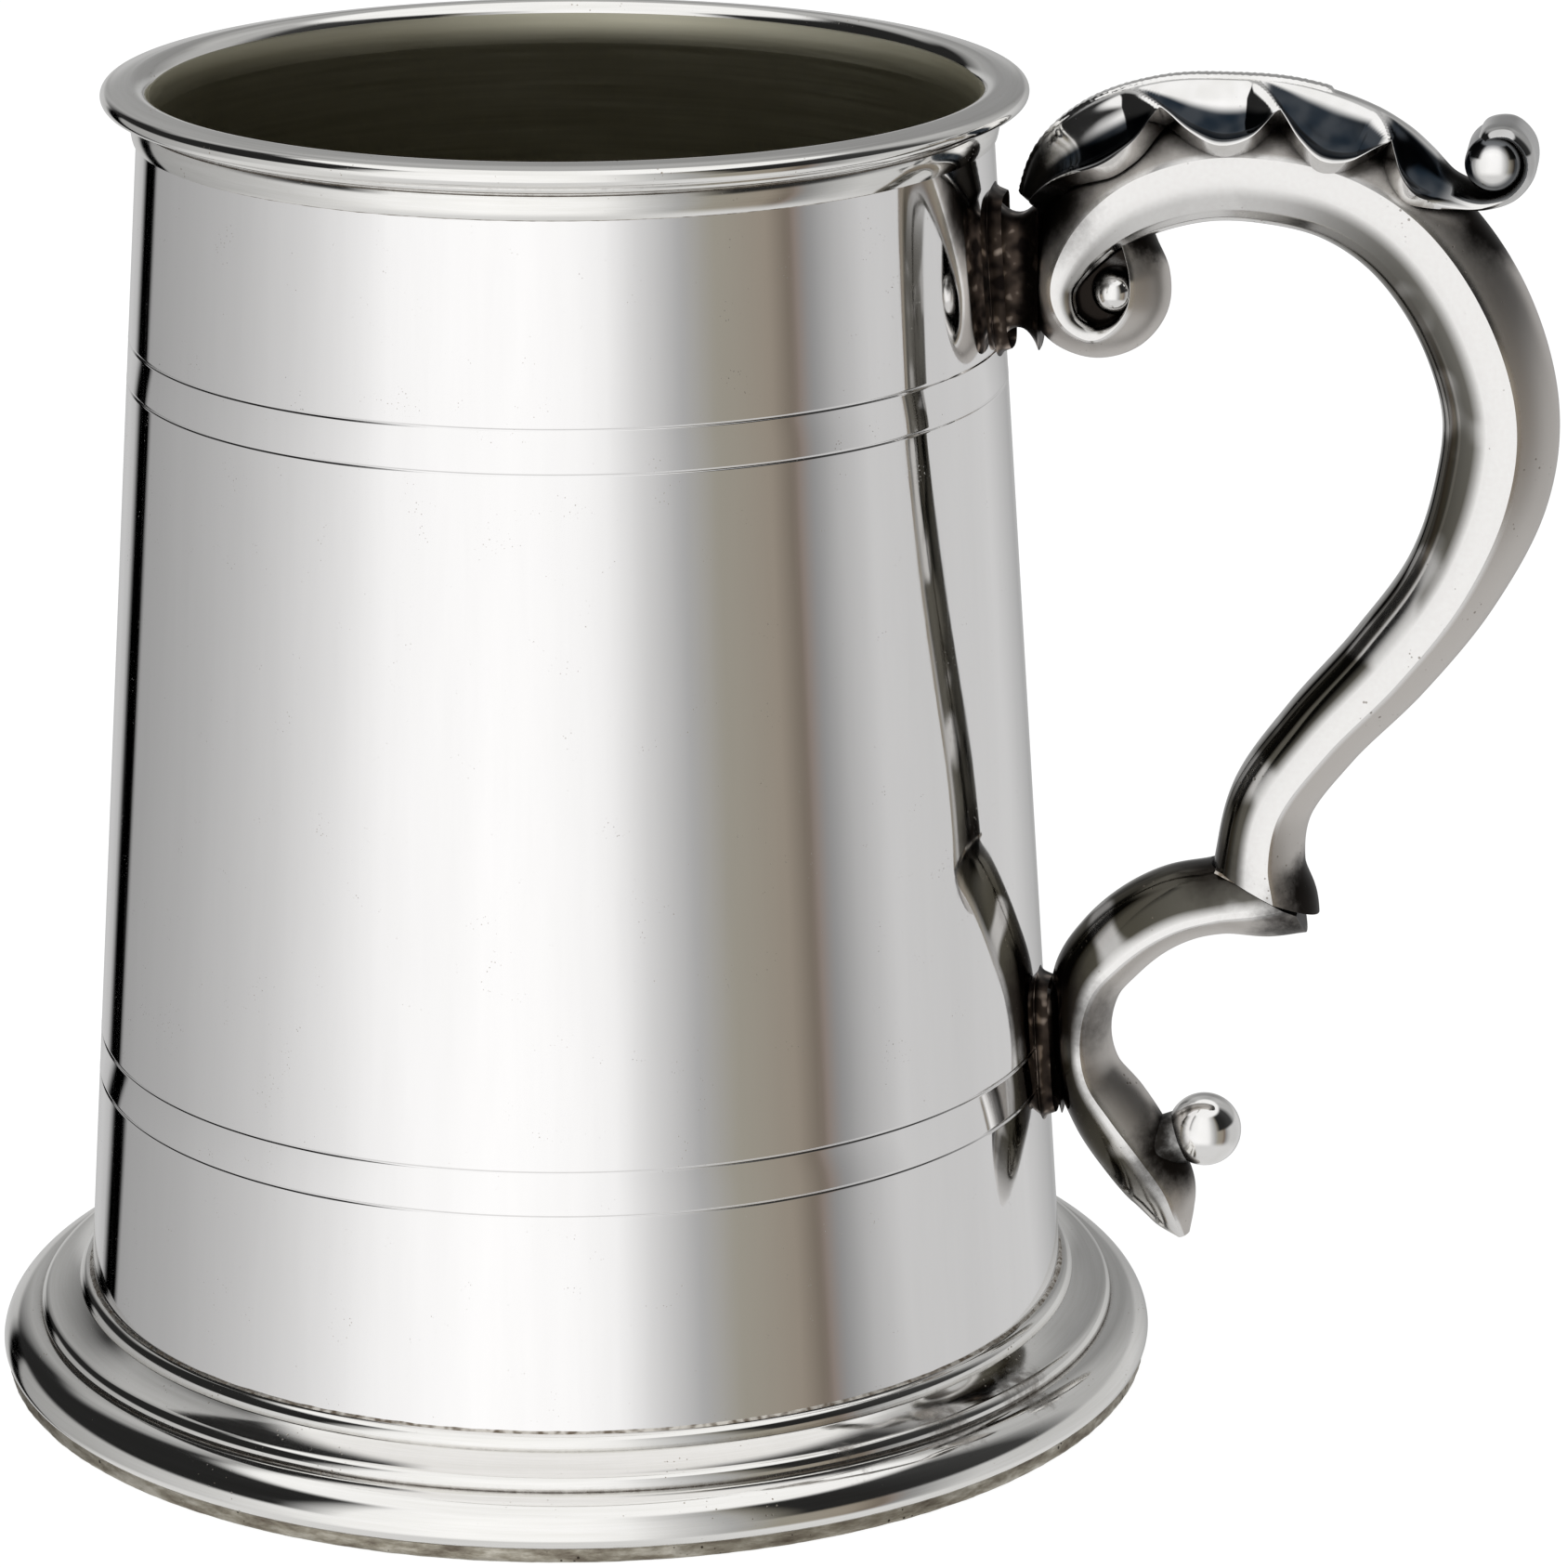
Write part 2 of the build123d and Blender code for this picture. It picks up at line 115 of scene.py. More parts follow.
def grey(level):
    """A neutral colour of the given level."""
    return (level, level, level, 1)


def maths(tree, operation, first, second=None):
    """A Math node, with sockets or numbers as its inputs."""
    node = new_node(tree, "ShaderNodeMath", operation=operation)
    for index, value in enumerate((first, second)):
        if value is not None:
            feed(tree, value, node.inputs[index])
    return node.outputs[0]


def plus(tree, first, second):
    """The sum of two sockets or numbers."""
    return maths(tree, "ADD", first, second)


def times(tree, first, second):
    """The product of two sockets or numbers."""
    return maths(tree, "MULTIPLY", first, second)


def larger(tree, first, second):
    """The larger of two sockets or numbers."""
    return maths(tree, "MAXIMUM", first, second)


def ramp(tree, factor, stops):
    """A colour ramp with stops of (position, colour), where a single number means a grey."""
    node = new_node(tree, "ShaderNodeValToRGB")
    elements = node.color_ramp.elements
    while len(elements) < len(stops):
        elements.new(0.5)
    for element, (position, colour) in zip(elements, stops):
        element.position = position
        shade = (colour,) * 3 if isinstance(colour, (int, float)) else colour
        element.color = (*shade, 1)
    feed(tree, factor, node.inputs[0])
    return node.outputs[0]


def map_range(tree, value, from_low, from_high, to_low=0.0, to_high=1.0):
    """A smooth Map Range node."""
    node = new_node(tree, "ShaderNodeMapRange", interpolation_type="SMOOTHSTEP")
    feed(tree, value, node.inputs["Value"])
    limits = {"From Min": from_low, "From Max": from_high, "To Min": to_low, "To Max": to_high}
    for name, number in limits.items():
        feed(tree, number, node.inputs[name])
    return node.outputs[0]


def mix_colours(tree, factor, first, second):
    """A Mix node for colours."""
    node = new_node(tree, "ShaderNodeMix", data_type="RGBA")
    feed(tree, factor, node.inputs["Factor"])
    feed(tree, first, node.inputs["A"])
    feed(tree, second, node.inputs["B"])
    return node.outputs["Result"]


print("node helpers ready")

# %% World of panels
# compass angle in degrees from the pot towards the camera, positive to the camera's right, and brightness
PANELS = [
    (-180, 0.50), (-160, 0.58), (-152, 0.52), (-149, 0.28), (-147, 0.0), (-139, 0.0), (-137, 0.36),
    (-110, 0.45), (-90, 0.55), (-75, 0.66), (-60, 0.82), (-45, 1.02), (-20, 1.12), (2, 1.08),
    (11, 1.0), (20, 0.72), (31, 0.44), (40, (0.35, 0.33, 0.28)), (55, (0.32, 0.28, 0.23)),
    (61.5, (0.19, 0.16, 0.13)), (62.8, (0.27, 0.22, 0.19)), (67, 0.30), (75, 0.48), (86, 0.64),
    (105, 0.62), (140, 0.66), (154, 0.52), (165, 0.41), (180, 0.50),
]
# how much of the dark band above the panels there is at each compass angle
BAND_SHARE = [
    (-180, 0.4), (-164, 0.3), (-155, 0.6), (-146, 1.0), (-58, 1.0), (-44, 0.0), (34, 0.0), (46, 1.0),
    (100, 0.95), (118, 0.25), (160, 0.3), (180, 0.4),
]
# height angles between which one part of the room gives way to the next
BAND_HEIGHTS = (4, 11)
REAR_WALL_HEIGHTS = (27, 35)
SOFTBOX_HEIGHTS = (50, 58)
TABLE_HEIGHTS = (-24, -42)
# compass angles between which the rear wall fades in, to either side
REAR_WALL_ANGLES = (132, 148)
REAR_WALL_LIGHT = 0.40
BAND_LIGHT = 0.02
TABLE_GLOW = 0.75
SOFTBOX_LIGHT = 1.05


def by_compass(tree, turn, stops):
    """A ramp over the whole turn, with stops of (compass angle, colour)."""
    return ramp(tree, turn, [((angle + 180) / 360, colour) for angle, colour in stops])


def studio_world():
    """The world shader: panels by compass angle, dark band and softbox by height angle."""
    world = bpy.data.worlds.new("studio")
    bpy.context.scene.world = world
    world.use_nodes = True
    tree = world.node_tree
    tree.nodes.clear()
    yaw = math.radians(CAMERA_YAW)
    direction = new_node(tree, "ShaderNodeTexCoord").outputs["Generated"]

    def component(axis):
        node = new_node(tree, "ShaderNodeVectorMath", operation="DOT_PRODUCT")
        feed(tree, direction, node.inputs[0])
        feed(tree, axis, node.inputs[1])
        return node.outputs["Value"]

    to_right = component((math.cos(yaw), math.sin(yaw), 0))
    to_camera = component((math.sin(yaw), -math.cos(yaw), 0))
    compass = times(tree, maths(tree, "ARCTAN2", to_right, to_camera), 180 / math.pi)
    height = times(tree, maths(tree, "ARCSINE", component((0, 0, 1))), 180 / math.pi)

    turn = maths(tree, "DIVIDE", plus(tree, compass, 180), 360)
    panels = by_compass(tree, turn, PANELS)

    # a dark band lies between the panels and the softbox, but not in front, and at the rear a wall tops it
    share = by_compass(tree, turn, BAND_SHARE)
    above_panels = map_range(tree, height, *BAND_HEIGHTS)
    dark = times(tree, above_panels, share)
    at_rear = map_range(tree, maths(tree, "ABSOLUTE", compass), *REAR_WALL_ANGLES)
    over_rear = times(tree, at_rear, map_range(tree, height, *REAR_WALL_HEIGHTS))
    band = mix_colours(tree, over_rear, grey(BAND_LIGHT), grey(REAR_WALL_LIGHT))
    banded = mix_colours(tree, dark, panels, band)
    in_softbox = map_range(tree, height, *SOFTBOX_HEIGHTS)
    lit = mix_colours(tree, in_softbox, banded, grey(SOFTBOX_LIGHT))
    low = map_range(tree, height, *TABLE_HEIGHTS)
    all_round = mix_colours(tree, low, lit, grey(TABLE_GLOW))

    seen = new_node(tree, "ShaderNodeLightPath").outputs["Is Camera Ray"]
    colour = mix_colours(tree, seen, all_round, grey(1.0))
    background = new_node(tree, "ShaderNodeBackground")
    feed(tree, colour, background.inputs["Color"])
    output = new_node(tree, "ShaderNodeOutputWorld")
    tree.links.new(background.outputs[0], output.inputs["Surface"])


studio_world()
print("studio panels:", len(PANELS))

# %% [markdown]
# The floor is a pale sheet of card. It glows just enough to be white to the camera and keeps a faint
# contact shadow. Mirrors don't see it, because on a real pack shot the sheet curves up behind the camera
# and the panels already stand for it.


# %% Lay the floor
FLOOR_HALF = 3.0
FLOOR_DROP = -0.00005


def studio_floor():
    """A wide flat floor just under the foot."""
    mesh = bpy.data.meshes.new("studio_floor")
    signs = ((-1, -1), (1, -1), (1, 1), (-1, 1))
    corners = [(x * FLOOR_HALF, y * FLOOR_HALF, FLOOR_DROP) for x, y in signs]
    mesh.from_pydata(corners, [], [(0, 1, 2, 3)])
    floor = bpy.data.objects.new("studio_floor", mesh)
    bpy.context.scene.collection.objects.link(floor)
    floor.visible_glossy = False
    material = bpy.data.materials.new("white_card")
    material.use_nodes = True
    tree = material.node_tree
    tree.nodes.clear()
    card = new_node(tree, "ShaderNodeBsdfDiffuse")
    card.inputs["Color"].default_value = (0.22, 0.22, 0.22, 1)
    glow = new_node(tree, "ShaderNodeEmission")
    glow.inputs["Color"].default_value = (0.93, 0.93, 0.93, 1)
    both = new_node(tree, "ShaderNodeAddShader")
    tree.links.new(card.outputs[0], both.inputs[0])
    tree.links.new(glow.outputs[0], both.inputs[1])
    output = new_node(tree, "ShaderNodeOutputMaterial")
    tree.links.new(both.outputs[0], output.inputs["Surface"])
    mesh.materials.append(material)


studio_floor()
print("floor laid")

# %% [markdown]
# ## Surface effects shared by the finishes
#
# The same things happen to pewter whatever its finish: a buffing wheel leaves fine lines that run with the
# work, the hand leaves slight waves in soft metal and small pits stay from the casting. Painted shade
# darkens the places where neighbouring metal is close, and dark spots darken a few given places: dirt on
# the foot, painted shade on the handle and the leaf. Each is a shader node group with named inputs, built
# once, and each material places it with values of its own.


# %% Group helper
def node_group(name, output, inputs):
    """A shader node group with one output, and its input and output nodes, still to be filled."""
    group = bpy.data.node_groups.new(name, "ShaderNodeTree")
    for label, default in inputs:
        kind = "NodeSocketVector" if isinstance(default, tuple) else "NodeSocketFloat"
        socket = group.interface.new_socket(label, in_out="INPUT", socket_type=kind)
        socket.default_value = default
    group.interface.new_socket(output, in_out="OUTPUT", socket_type="NodeSocketFloat")
    return group, group.nodes.new("NodeGroupInput"), group.nodes.new("NodeGroupOutput")


def object_place(tree):
    """The place on the object, in metres."""
    return new_node(tree, "ShaderNodeTexCoord").outputs["Object"]


def noise_at(tree, vector, scale, detail=3.0, roughness=0.55):
    """A Noise Texture's value."""
    node = new_node(tree, "ShaderNodeTexNoise")
    feed(tree, vector, node.inputs["Vector"])
    feed(tree, scale, node.inputs["Scale"])
    node.inputs["Detail"].default_value = detail
    node.inputs["Roughness"].default_value = roughness
    return node.outputs["Fac"]


print("group helper ready")


# %% Wheel lines
MEAN_RADIUS = 0.045


def wheel_lines_group():
    """Fine lines, stretched round the pot's axis or up it."""
    inputs = [("Round", 1.0), ("Up", 1.0), ("Scale", 1000.0)]
    group, given, result = node_group("wheel_lines", "Lines", inputs)
    place = object_place(group)
    parts = new_node(group, "ShaderNodeSeparateXYZ")
    feed(group, place, parts.inputs[0])
    x, y, z = parts.outputs
    squares = plus(group, maths(group, "POWER", x, 2.0), maths(group, "POWER", y, 2.0))
    radius = maths(group, "SQRT", squares)
    run = times(group, maths(group, "ARCTAN2", y, x), MEAN_RADIUS)
    vector = new_node(group, "ShaderNodeCombineXYZ")
    for index, (length, stretch) in enumerate(((run, "Round"), (z, "Up"), (radius, "Up"))):
        feed(group, times(group, length, given.outputs[stretch]), vector.inputs[index])
    lines = noise_at(group, vector.outputs[0], given.outputs["Scale"], 4.0, 0.65)
    feed(group, lines, result.inputs["Lines"])
    return group


# %% Hand waves
def hand_waves_group():
    """Slow unevenness of soft metal, as a height in metres."""
    group, given, result = node_group("hand_waves", "Height", [("Scale", 60.0), ("Height", 0.00002)])
    place = object_place(group)
    wave = noise_at(group, place, given.outputs["Scale"], 1.0, 0.4)
    feed(group, times(group, wave, given.outputs["Height"]), result.inputs["Height"])
    return group


# %% Casting pits
def casting_pits_group():
    """Scattered small pits, as a mask that is 1 in a pit."""
    group, given, result = node_group("casting_pits", "Mask", [("Scale", 900.0), ("Amount", 0.1)])
    place = object_place(group)
    cells = new_node(group, "ShaderNodeTexVoronoi", feature="F1")
    feed(group, place, cells.inputs["Vector"])
    feed(group, given.outputs["Scale"], cells.inputs["Scale"])
    patches = noise_at(group, place, times(group, given.outputs["Scale"], 0.12), 2.0)
    size = times(group, map_range(group, patches, 0.45, 0.75), given.outputs["Amount"])
    inside = maths(group, "SUBTRACT", size, cells.outputs["Distance"])
    feed(group, map_range(group, inside, 0.0, 0.08), result.inputs["Mask"])
    return group


# %% Painted shade in the recesses
def recess_shade_group():
    """Painted shade: a dark mask where ambient occlusion finds neighbouring metal close, broken up by
    noise.
    """
    inputs = [("Reach", 0.004), ("Start", 0.75), ("Full", 0.35), ("Break Up", 0.2), ("Scale", 500.0)]
    group, given, result = node_group("recess_shade", "Mask", inputs)
    place = object_place(group)
    shelter = new_node(group, "ShaderNodeAmbientOcclusion", samples=6)
    feed(group, given.outputs["Reach"], shelter.inputs["Distance"])
    grain = noise_at(group, place, given.outputs["Scale"], 4.0, 0.7)
    shift = times(group, maths(group, "SUBTRACT", grain, 0.5), given.outputs["Break Up"])
    openness = plus(group, shelter.outputs["AO"], shift)
    mask = map_range(group, openness, given.outputs["Full"], given.outputs["Start"], 1.0, 0.0)
    feed(group, mask, result.inputs["Mask"])
    return group


# %% Dark spots: dirt on the foot, painted shade elsewhere
SPOT_GRAIN = 600.0


def dark_spot_group():
    """A dark spot round one place of the object, with a ragged edge: dirt on the foot, painted shade on the
    handle and the leaf.
    """
    inputs = [("Place", (0.0, 0.0, 0.0)), ("Radius", 0.004), ("Softness", 0.003), ("Ragged", 0.002)]
    group, given, result = node_group("dark_spot", "Mask", inputs)
    place = object_place(group)
    away = new_node(group, "ShaderNodeVectorMath", operation="DISTANCE")
    feed(group, place, away.inputs[0])
    feed(group, given.outputs["Place"], away.inputs[1])
    rough = maths(group, "SUBTRACT", noise_at(group, place, SPOT_GRAIN, 4.0, 0.65), 0.5)
    distance = plus(group, away.outputs["Value"], times(group, rough, given.outputs["Ragged"]))
    outer = plus(group, given.outputs["Radius"], given.outputs["Softness"])
    feed(group, map_range(group, distance, given.outputs["Radius"], outer, 1.0, 0.0), result.inputs["Mask"])
    return group


DARK_SPOT = dark_spot_group()
WHEEL_LINES = wheel_lines_group()
HAND_WAVES = hand_waves_group()
CASTING_PITS = casting_pits_group()
RECESS_SHADE = recess_shade_group()
print("groups:", [group.name for group in bpy.data.node_groups])

# %% [markdown]
# ## Finishes
#
# Every finish is one Principled shader with Metallic at 1. The groups vary its colour, roughness and a bump
# height. Bump heights are real heights in metres: a tenth of a millimetre on rough skin, and a few
# hundredths or less on polished metal, because a mirror shows even those. The handle and the leaf also
# carry a number at each point of their mesh, called patina_and_shade, which says where the casting is
# rubbed bright, where it is dark and where it is dull. The dark is olive patina with painted dark
# reflection on the scrolls, blue-black patina with painted dark reflection in the petal hollows, and
# painted shade in the curl and round its bead.


# %% Finish helpers
def place_group(tree, group, **values):
    """Places a node group in a material and returns its output; spaces in names become underscores."""
    node = new_node(tree, "ShaderNodeGroup", node_tree=group)
    for label, value in values.items():
        feed(tree, value, node.inputs[label.replace("_", " ")])
    return node.outputs[0]


def lines(tree, along, up, scale):
    """Wheel lines, stretched by the given shares round the axis and up it."""
    return place_group(tree, WHEEL_LINES, Round=along, Up=up, Scale=scale)


def waves(tree, scale, height=1.0):
    """Slow noise of the given height."""
    return place_group(tree, HAND_WAVES, Scale=scale, Height=height)


def pits(tree, scale, amount):
    """Mask of scattered pits."""
    return place_group(tree, CASTING_PITS, Scale=scale, Amount=amount)


def with_dark_spots(tree, places, mask, ragged=2.0):
    """Adds dark spots to a mask. Places are (x, y, z, radius, softness) in millimetres."""
    for x, y, z, radius, softness in places:
        spot = place_group(
            tree, DARK_SPOT, Place=(x * MM, y * MM, z * MM), Radius=radius * MM, Softness=softness * MM,
            Ragged=ragged * MM,
        )
        mask = larger(tree, mask, spot)
    return mask


def patina_and_shade_of(tree):
    """The patina and painted shade stored on a mesh: 0 where rubbed bright, 1 where dark, negative where
    dull.
    """
    return new_node(tree, "ShaderNodeAttribute", attribute_name="patina_and_shade").outputs["Fac"]


def metal(name):
    """A new metallic material and its node tree."""
    material = bpy.data.materials.new(name)
    material.use_nodes = True
    material.node_tree.nodes["Principled BSDF"].inputs["Metallic"].default_value = 1.0
    return material, material.node_tree


def finished(material, colour, roughness, height):
    """Feeds a finish's colour, roughness and bump height in metres to its shader, and returns it."""
    tree = material.node_tree
    shader = tree.nodes["Principled BSDF"]
    node = new_node(tree, "ShaderNodeBump")
    node.inputs["Distance"].default_value = 1.0
    node.inputs["Strength"].default_value = 1.0
    feed(tree, height, node.inputs["Height"])
    for socket, label in ((colour, "Base Color"), (roughness, "Roughness"), (node.outputs[0], "Normal")):
        tree.links.new(socket, shader.inputs[label])
    return material


print("finish helpers ready")


# %% Mirror-polished drum
def polished_drum_finish():
    """Buffed pewter with vertical wheel marks, small pits and slight waves."""
    material, tree = metal("polished_pewter_drum")
    fine, broad = lines(tree, 1.0, 0.04, 1400.0), lines(tree, 1.0, 0.1, 160.0)
    holes = pits(tree, 2600.0, 0.20)
    shade = ramp(tree, broad, [(0.3, (0.86, 0.85, 0.845)), (0.7, (0.90, 0.89, 0.885))])
    colour = mix_colours(tree, holes, shade, (0.56, 0.53, 0.49, 1))
    roughness = plus(tree, map_range(tree, fine, 0.3, 0.75, 0.03, 0.085), times(tree, holes, 0.3))
    scratched = plus(tree, waves(tree, 45.0, 0.00001), times(tree, fine, 0.0000003))
    height = plus(tree, scratched, times(tree, holes, -0.000003))
    return finished(material, colour, roughness, height)


# %% Polished mouldings
# places on the foot where polish and dirt have stayed
FOOT_SOOT = [
    (47.1, -22.0, 8.4, 1.2, 3.6),
    (41.0, -32.0, 8.3, 0.8, 3.8),
    (32.7, -40.4, 8.2, 0.2, 3.4),
]


def polished_moulding_finish():
    """Turned and buffed mouldings: lines run round them, painted shade darkens their corners brown, and
    brown dirt spots sit on the foot.
    """
    material, tree = metal("polished_pewter_mouldings")
    turning, holes = lines(tree, 0.03, 1.0, 2500.0), pits(tree, 1800.0, 0.22)
    # painted shade in the corners, from the recess mask, and brown dirt spots on the foot
    darkening = place_group(tree, RECESS_SHADE, Reach=0.0022, Start=0.66, Full=0.36, Break_Up=0.45, Scale=900.0)
    darkening = larger(tree, darkening, times(tree, with_dark_spots(tree, FOOT_SOOT, 0.0, 7.0), 0.7))
    shade = ramp(tree, turning, [(0.3, (0.80, 0.79, 0.76)), (0.7, (0.88, 0.87, 0.85))])
    pitted = mix_colours(tree, holes, shade, (0.40, 0.35, 0.29, 1))
    colour = mix_colours(tree, darkening, pitted, (0.13, 0.10, 0.075, 1))
    spots = times(tree, larger(tree, holes, darkening), 0.35)
    roughness = plus(tree, map_range(tree, turning, 0.3, 0.75, 0.05, 0.11), spots)
    ridged = plus(tree, waves(tree, 80.0, 0.00001), times(tree, turning, 0.0000006))
    height = plus(tree, ridged, times(tree, holes, -0.000004))
    return finished(material, colour, roughness, height)


# %% Satin inside
def satin_inside_finish():
    """The inside of the cup: brushed round its axis, so highlights stretch upwards, and toned by use."""
    material, tree = metal("satin_pewter_inside")
    brushing = lines(tree, 0.02, 1.0, 2200.0)
    shade = ramp(tree, brushing, [(0.3, (0.52, 0.50, 0.40)), (0.7, (0.66, 0.64, 0.53))])
    colour = mix_colours(tree, waves(tree, 70.0), shade, (0.44, 0.42, 0.32, 1))
    roughness = map_range(tree, brushing, 0.25, 0.75, 0.38, 0.48)
    shader = tree.nodes["Principled BSDF"]
    round_axis = new_node(tree, "ShaderNodeTangent", direction_type="RADIAL", axis="Z")
    tree.links.new(round_axis.outputs[0], shader.inputs["Tangent"])
    shader.inputs["Anisotropic"].default_value = 0.8
    return finished(material, colour, roughness, times(tree, brushing, 0.0000015))


# %% Cast handle
# places darkened with painted shade: round the volute, under the curl, at the break, ball and lower lug
HANDLE_SHADE_SPOTS = [
    (43.0, 0.0, 113.5, 4.5, 4.5),
    (48.4, 0.0, 104.6, 3.0, 1.6),
    (52.0, 0.0, 109.6, 2.6, 1.6),
    (83.0, 0.0, 111.2, 2.4, 3.2),
    (60.9, 0.0, 50.4, 1.8, 4.2),
    (67.2, 0.0, 47.9, 3.2, 2.6),
    (56.2, 0.0, 22.3, 2.8, 3.0),
    (44.8, 0.0, 36.8, 4.2, 4.2),
    (44.9, 0.0, 27.5, 3.4, 4.2),
]


def cast_handle_finish():
    """Cast pewter, polished by hand: bright where rubbed, olive patina and painted dark reflection in its
    lee, painted black shade in recesses.
    """
    material, tree = metal("cast_pewter_handle")
    grain, cloud, holes = waves(tree, 2400.0), waves(tree, 150.0), pits(tree, 1500.0, 0.26)
    # painted shade: near-black in recesses, from the recess mask, and round the given places
    darkening = place_group(tree, RECESS_SHADE, Reach=0.0045, Start=0.80, Full=0.36, Break_Up=0.25, Scale=500.0)
    darkening = with_dark_spots(tree, HANDLE_SHADE_SPOTS, darkening)
    painted = patina_and_shade_of(tree)
    worn = map_range(tree, cloud, 0.56, 0.66, 1.0, 0.45)
    patina_and_shade = times(tree, larger(tree, painted, 0.0), worn)
    dull = larger(tree, times(tree, painted, -1.0), 0.0)
    shade = ramp(tree, grain, [(0.3, (0.77, 0.755, 0.74)), (0.7, (0.79, 0.78, 0.765))])
    dulled = mix_colours(tree, dull, shade, (0.60, 0.57, 0.54, 1))
    # dark olive: patina and painted dark reflection
    toned = mix_colours(tree, patina_and_shade, dulled, (0.065, 0.06, 0.046, 1))
    pitted = mix_colours(tree, times(tree, holes, 0.7), toned, (0.20, 0.17, 0.14, 1))
    colour = mix_colours(tree, darkening, pitted, (0.016, 0.013, 0.011, 1))
    grained = map_range(tree, grain, 0.25, 0.75, 0.15, 0.17)
    soft = maths(tree, "SUBTRACT", grained, times(tree, patina_and_shade, 0.08))
    roughness = plus(tree, plus(tree, soft, times(tree, dull, 0.2)), times(tree, darkening, 0.10))
    height = plus(tree, waves(tree, 120.0, 0.00003), times(tree, holes, -0.00001))
    return finished(material, colour, roughness, height)


# %% Leaf and beads
# places darkened with painted shade: at the leaf's root, inside its curl, behind the ball and beside the
# bead of the volute
LEAF_SHADE_SPOTS = [
    (41.0, 0.0, 113.0, 4.6, 3.0),
    (81.6, 0.0, 115.8, 1.8, 2.2),
    (55.6, 0.0, 22.7, 2.6, 2.4),
    (48.6, -4.0, 106.4, 0.8, 1.2),
]


def bright_leaf_finish():
    """The leaf and the beads: polished like a mirror on top; patina and painted dark reflection make the
    petal hollows blue-black, and painted shade darkens recesses.
    """
    material, tree = metal("bright_leaf_pewter")
    grain, holes = waves(tree, 500.0), pits(tree, 1200.0, 0.22)
    # painted shade: near-black in recesses, from the recess mask, and round the given places
    darkening = place_group(tree, RECESS_SHADE, Reach=0.0016, Start=0.62, Full=0.28, Break_Up=0.25, Scale=900.0)
    darkening = with_dark_spots(tree, LEAF_SHADE_SPOTS, darkening)
    shade = ramp(tree, grain, [(0.3, (0.80, 0.79, 0.77)), (0.7, (0.88, 0.87, 0.86))])
    # blue-black in the petal hollows: patina and painted dark reflection
    hollows = times(tree, patina_and_shade_of(tree), map_range(tree, grain, 0.25, 0.7, 1.0, 0.96))
    toned = mix_colours(tree, hollows, shade, (0.012, 0.019, 0.028, 1))
    colour = mix_colours(tree, darkening, toned, (0.020, 0.018, 0.016, 1))
    spots = times(tree, larger(tree, holes, darkening), 0.3)
    roughness = plus(tree, map_range(tree, grain, 0.2, 0.8, 0.06, 0.12), spots)
    return finished(material, colour, roughness, waves(tree, 260.0, 0.00003))


# %% Dark lugs
def dark_lug_finish():
    """Lugs as they came from the mould: brown-black, rough, a little bare metal on their high spots."""
    material, tree = metal("dark_cast_pewter")
    grain = waves(tree, 700.0)
    tones = [(0.36, (0.012, 0.009, 0.008)), (0.6, (0.06, 0.045, 0.036)), (0.74, (0.38, 0.31, 0.26))]
    roughness = map_range(tree, grain, 0.3, 0.7, 0.5, 0.3)
    return finished(material, ramp(tree, grain, tones), roughness, waves(tree, 500.0, 0.0001))


# %% Rough cast edge
def cast_edge_finish():
    """The foot's standing edge: never polished, brownish, with bright rubbed spots."""
    material, tree = metal("rough_cast_edge")
    grain = lines(tree, 0.35, 1.0, 900.0)
    tones = [(0.30, (0.16, 0.13, 0.10)), (0.5, (0.34, 0.31, 0.25)), (0.68, (0.56, 0.53, 0.46))]
    colour = mix_colours(tree, pits(tree, 1400.0, 0.35), ramp(tree, grain, tones), (0.05, 0.04, 0.03, 1))
    roughness = map_range(tree, grain, 0.3, 0.7, 0.55, 0.32)
    return finished(material, colour, roughness, times(tree, grain, 0.0001))


# %% Tarnished solder
def solder_finish():
    """Solder runs: dull grey-brown metal with small lumps."""
    material, tree = metal("tarnished_solder")
    grain = waves(tree, 1200.0)
    colour = ramp(tree, grain, [(0.35, (0.22, 0.18, 0.14)), (0.6, (0.62, 0.59, 0.54))])
    roughness = map_range(tree, grain, 0.3, 0.7, 0.5, 0.3)
    return finished(material, colour, roughness, waves(tree, 1500.0, 0.00003))


POLISHED_DRUM = polished_drum_finish()
POLISHED_MOULDING = polished_moulding_finish()
SATIN_INSIDE = satin_inside_finish()
CAST_HANDLE = cast_handle_finish()
BRIGHT_LEAF = bright_leaf_finish()
DARK_LUG = dark_lug_finish()
CAST_EDGE = cast_edge_finish()
SOLDER = solder_finish()
print("finishes:", [m.name for m in bpy.data.materials if m.name != "white_card"])

# %% [markdown]
# ## Tools of the lathe
#
# A turned piece is a closed outline in (radius, height), spun round the axis. Arcs through three points
# and straight runs are enough for every moulding. Where two runs meet at an angle, the edge stays crisp,
# because the mesh marks edges over a set angle as sharp.


# %% Outlines and pieces
def arc(start, via, end, steps=10):
    """Points of the circular arc through three points, with both ends."""
    (ax, ay), (bx, by), (cx, cy) = start, via, end
    d = 2 * (ax * (by - cy) + bx * (cy - ay) + cx * (ay - by))
    a2, b2, c2 = ax * ax + ay * ay, bx * bx + by * by, cx * cx + cy * cy
    ox = (a2 * (by - cy) + b2 * (cy - ay) + c2 * (ay - by)) / d
    oy = (a2 * (cx - bx) + b2 * (ax - cx) + c2 * (bx - ax)) / d
    radius = math.hypot(ax - ox, ay - oy)
    first, middle, last = (math.atan2(y - oy, x - ox) for x, y in (start, via, end))
    sweep = (last - first) % math.tau
    if (middle - first) % math.tau > sweep:
        sweep -= math.tau
    angles = [first + sweep * i / steps for i in range(steps + 1)]
    return [(ox + radius * math.cos(t), oy + radius * math.sin(t)) for t in angles]


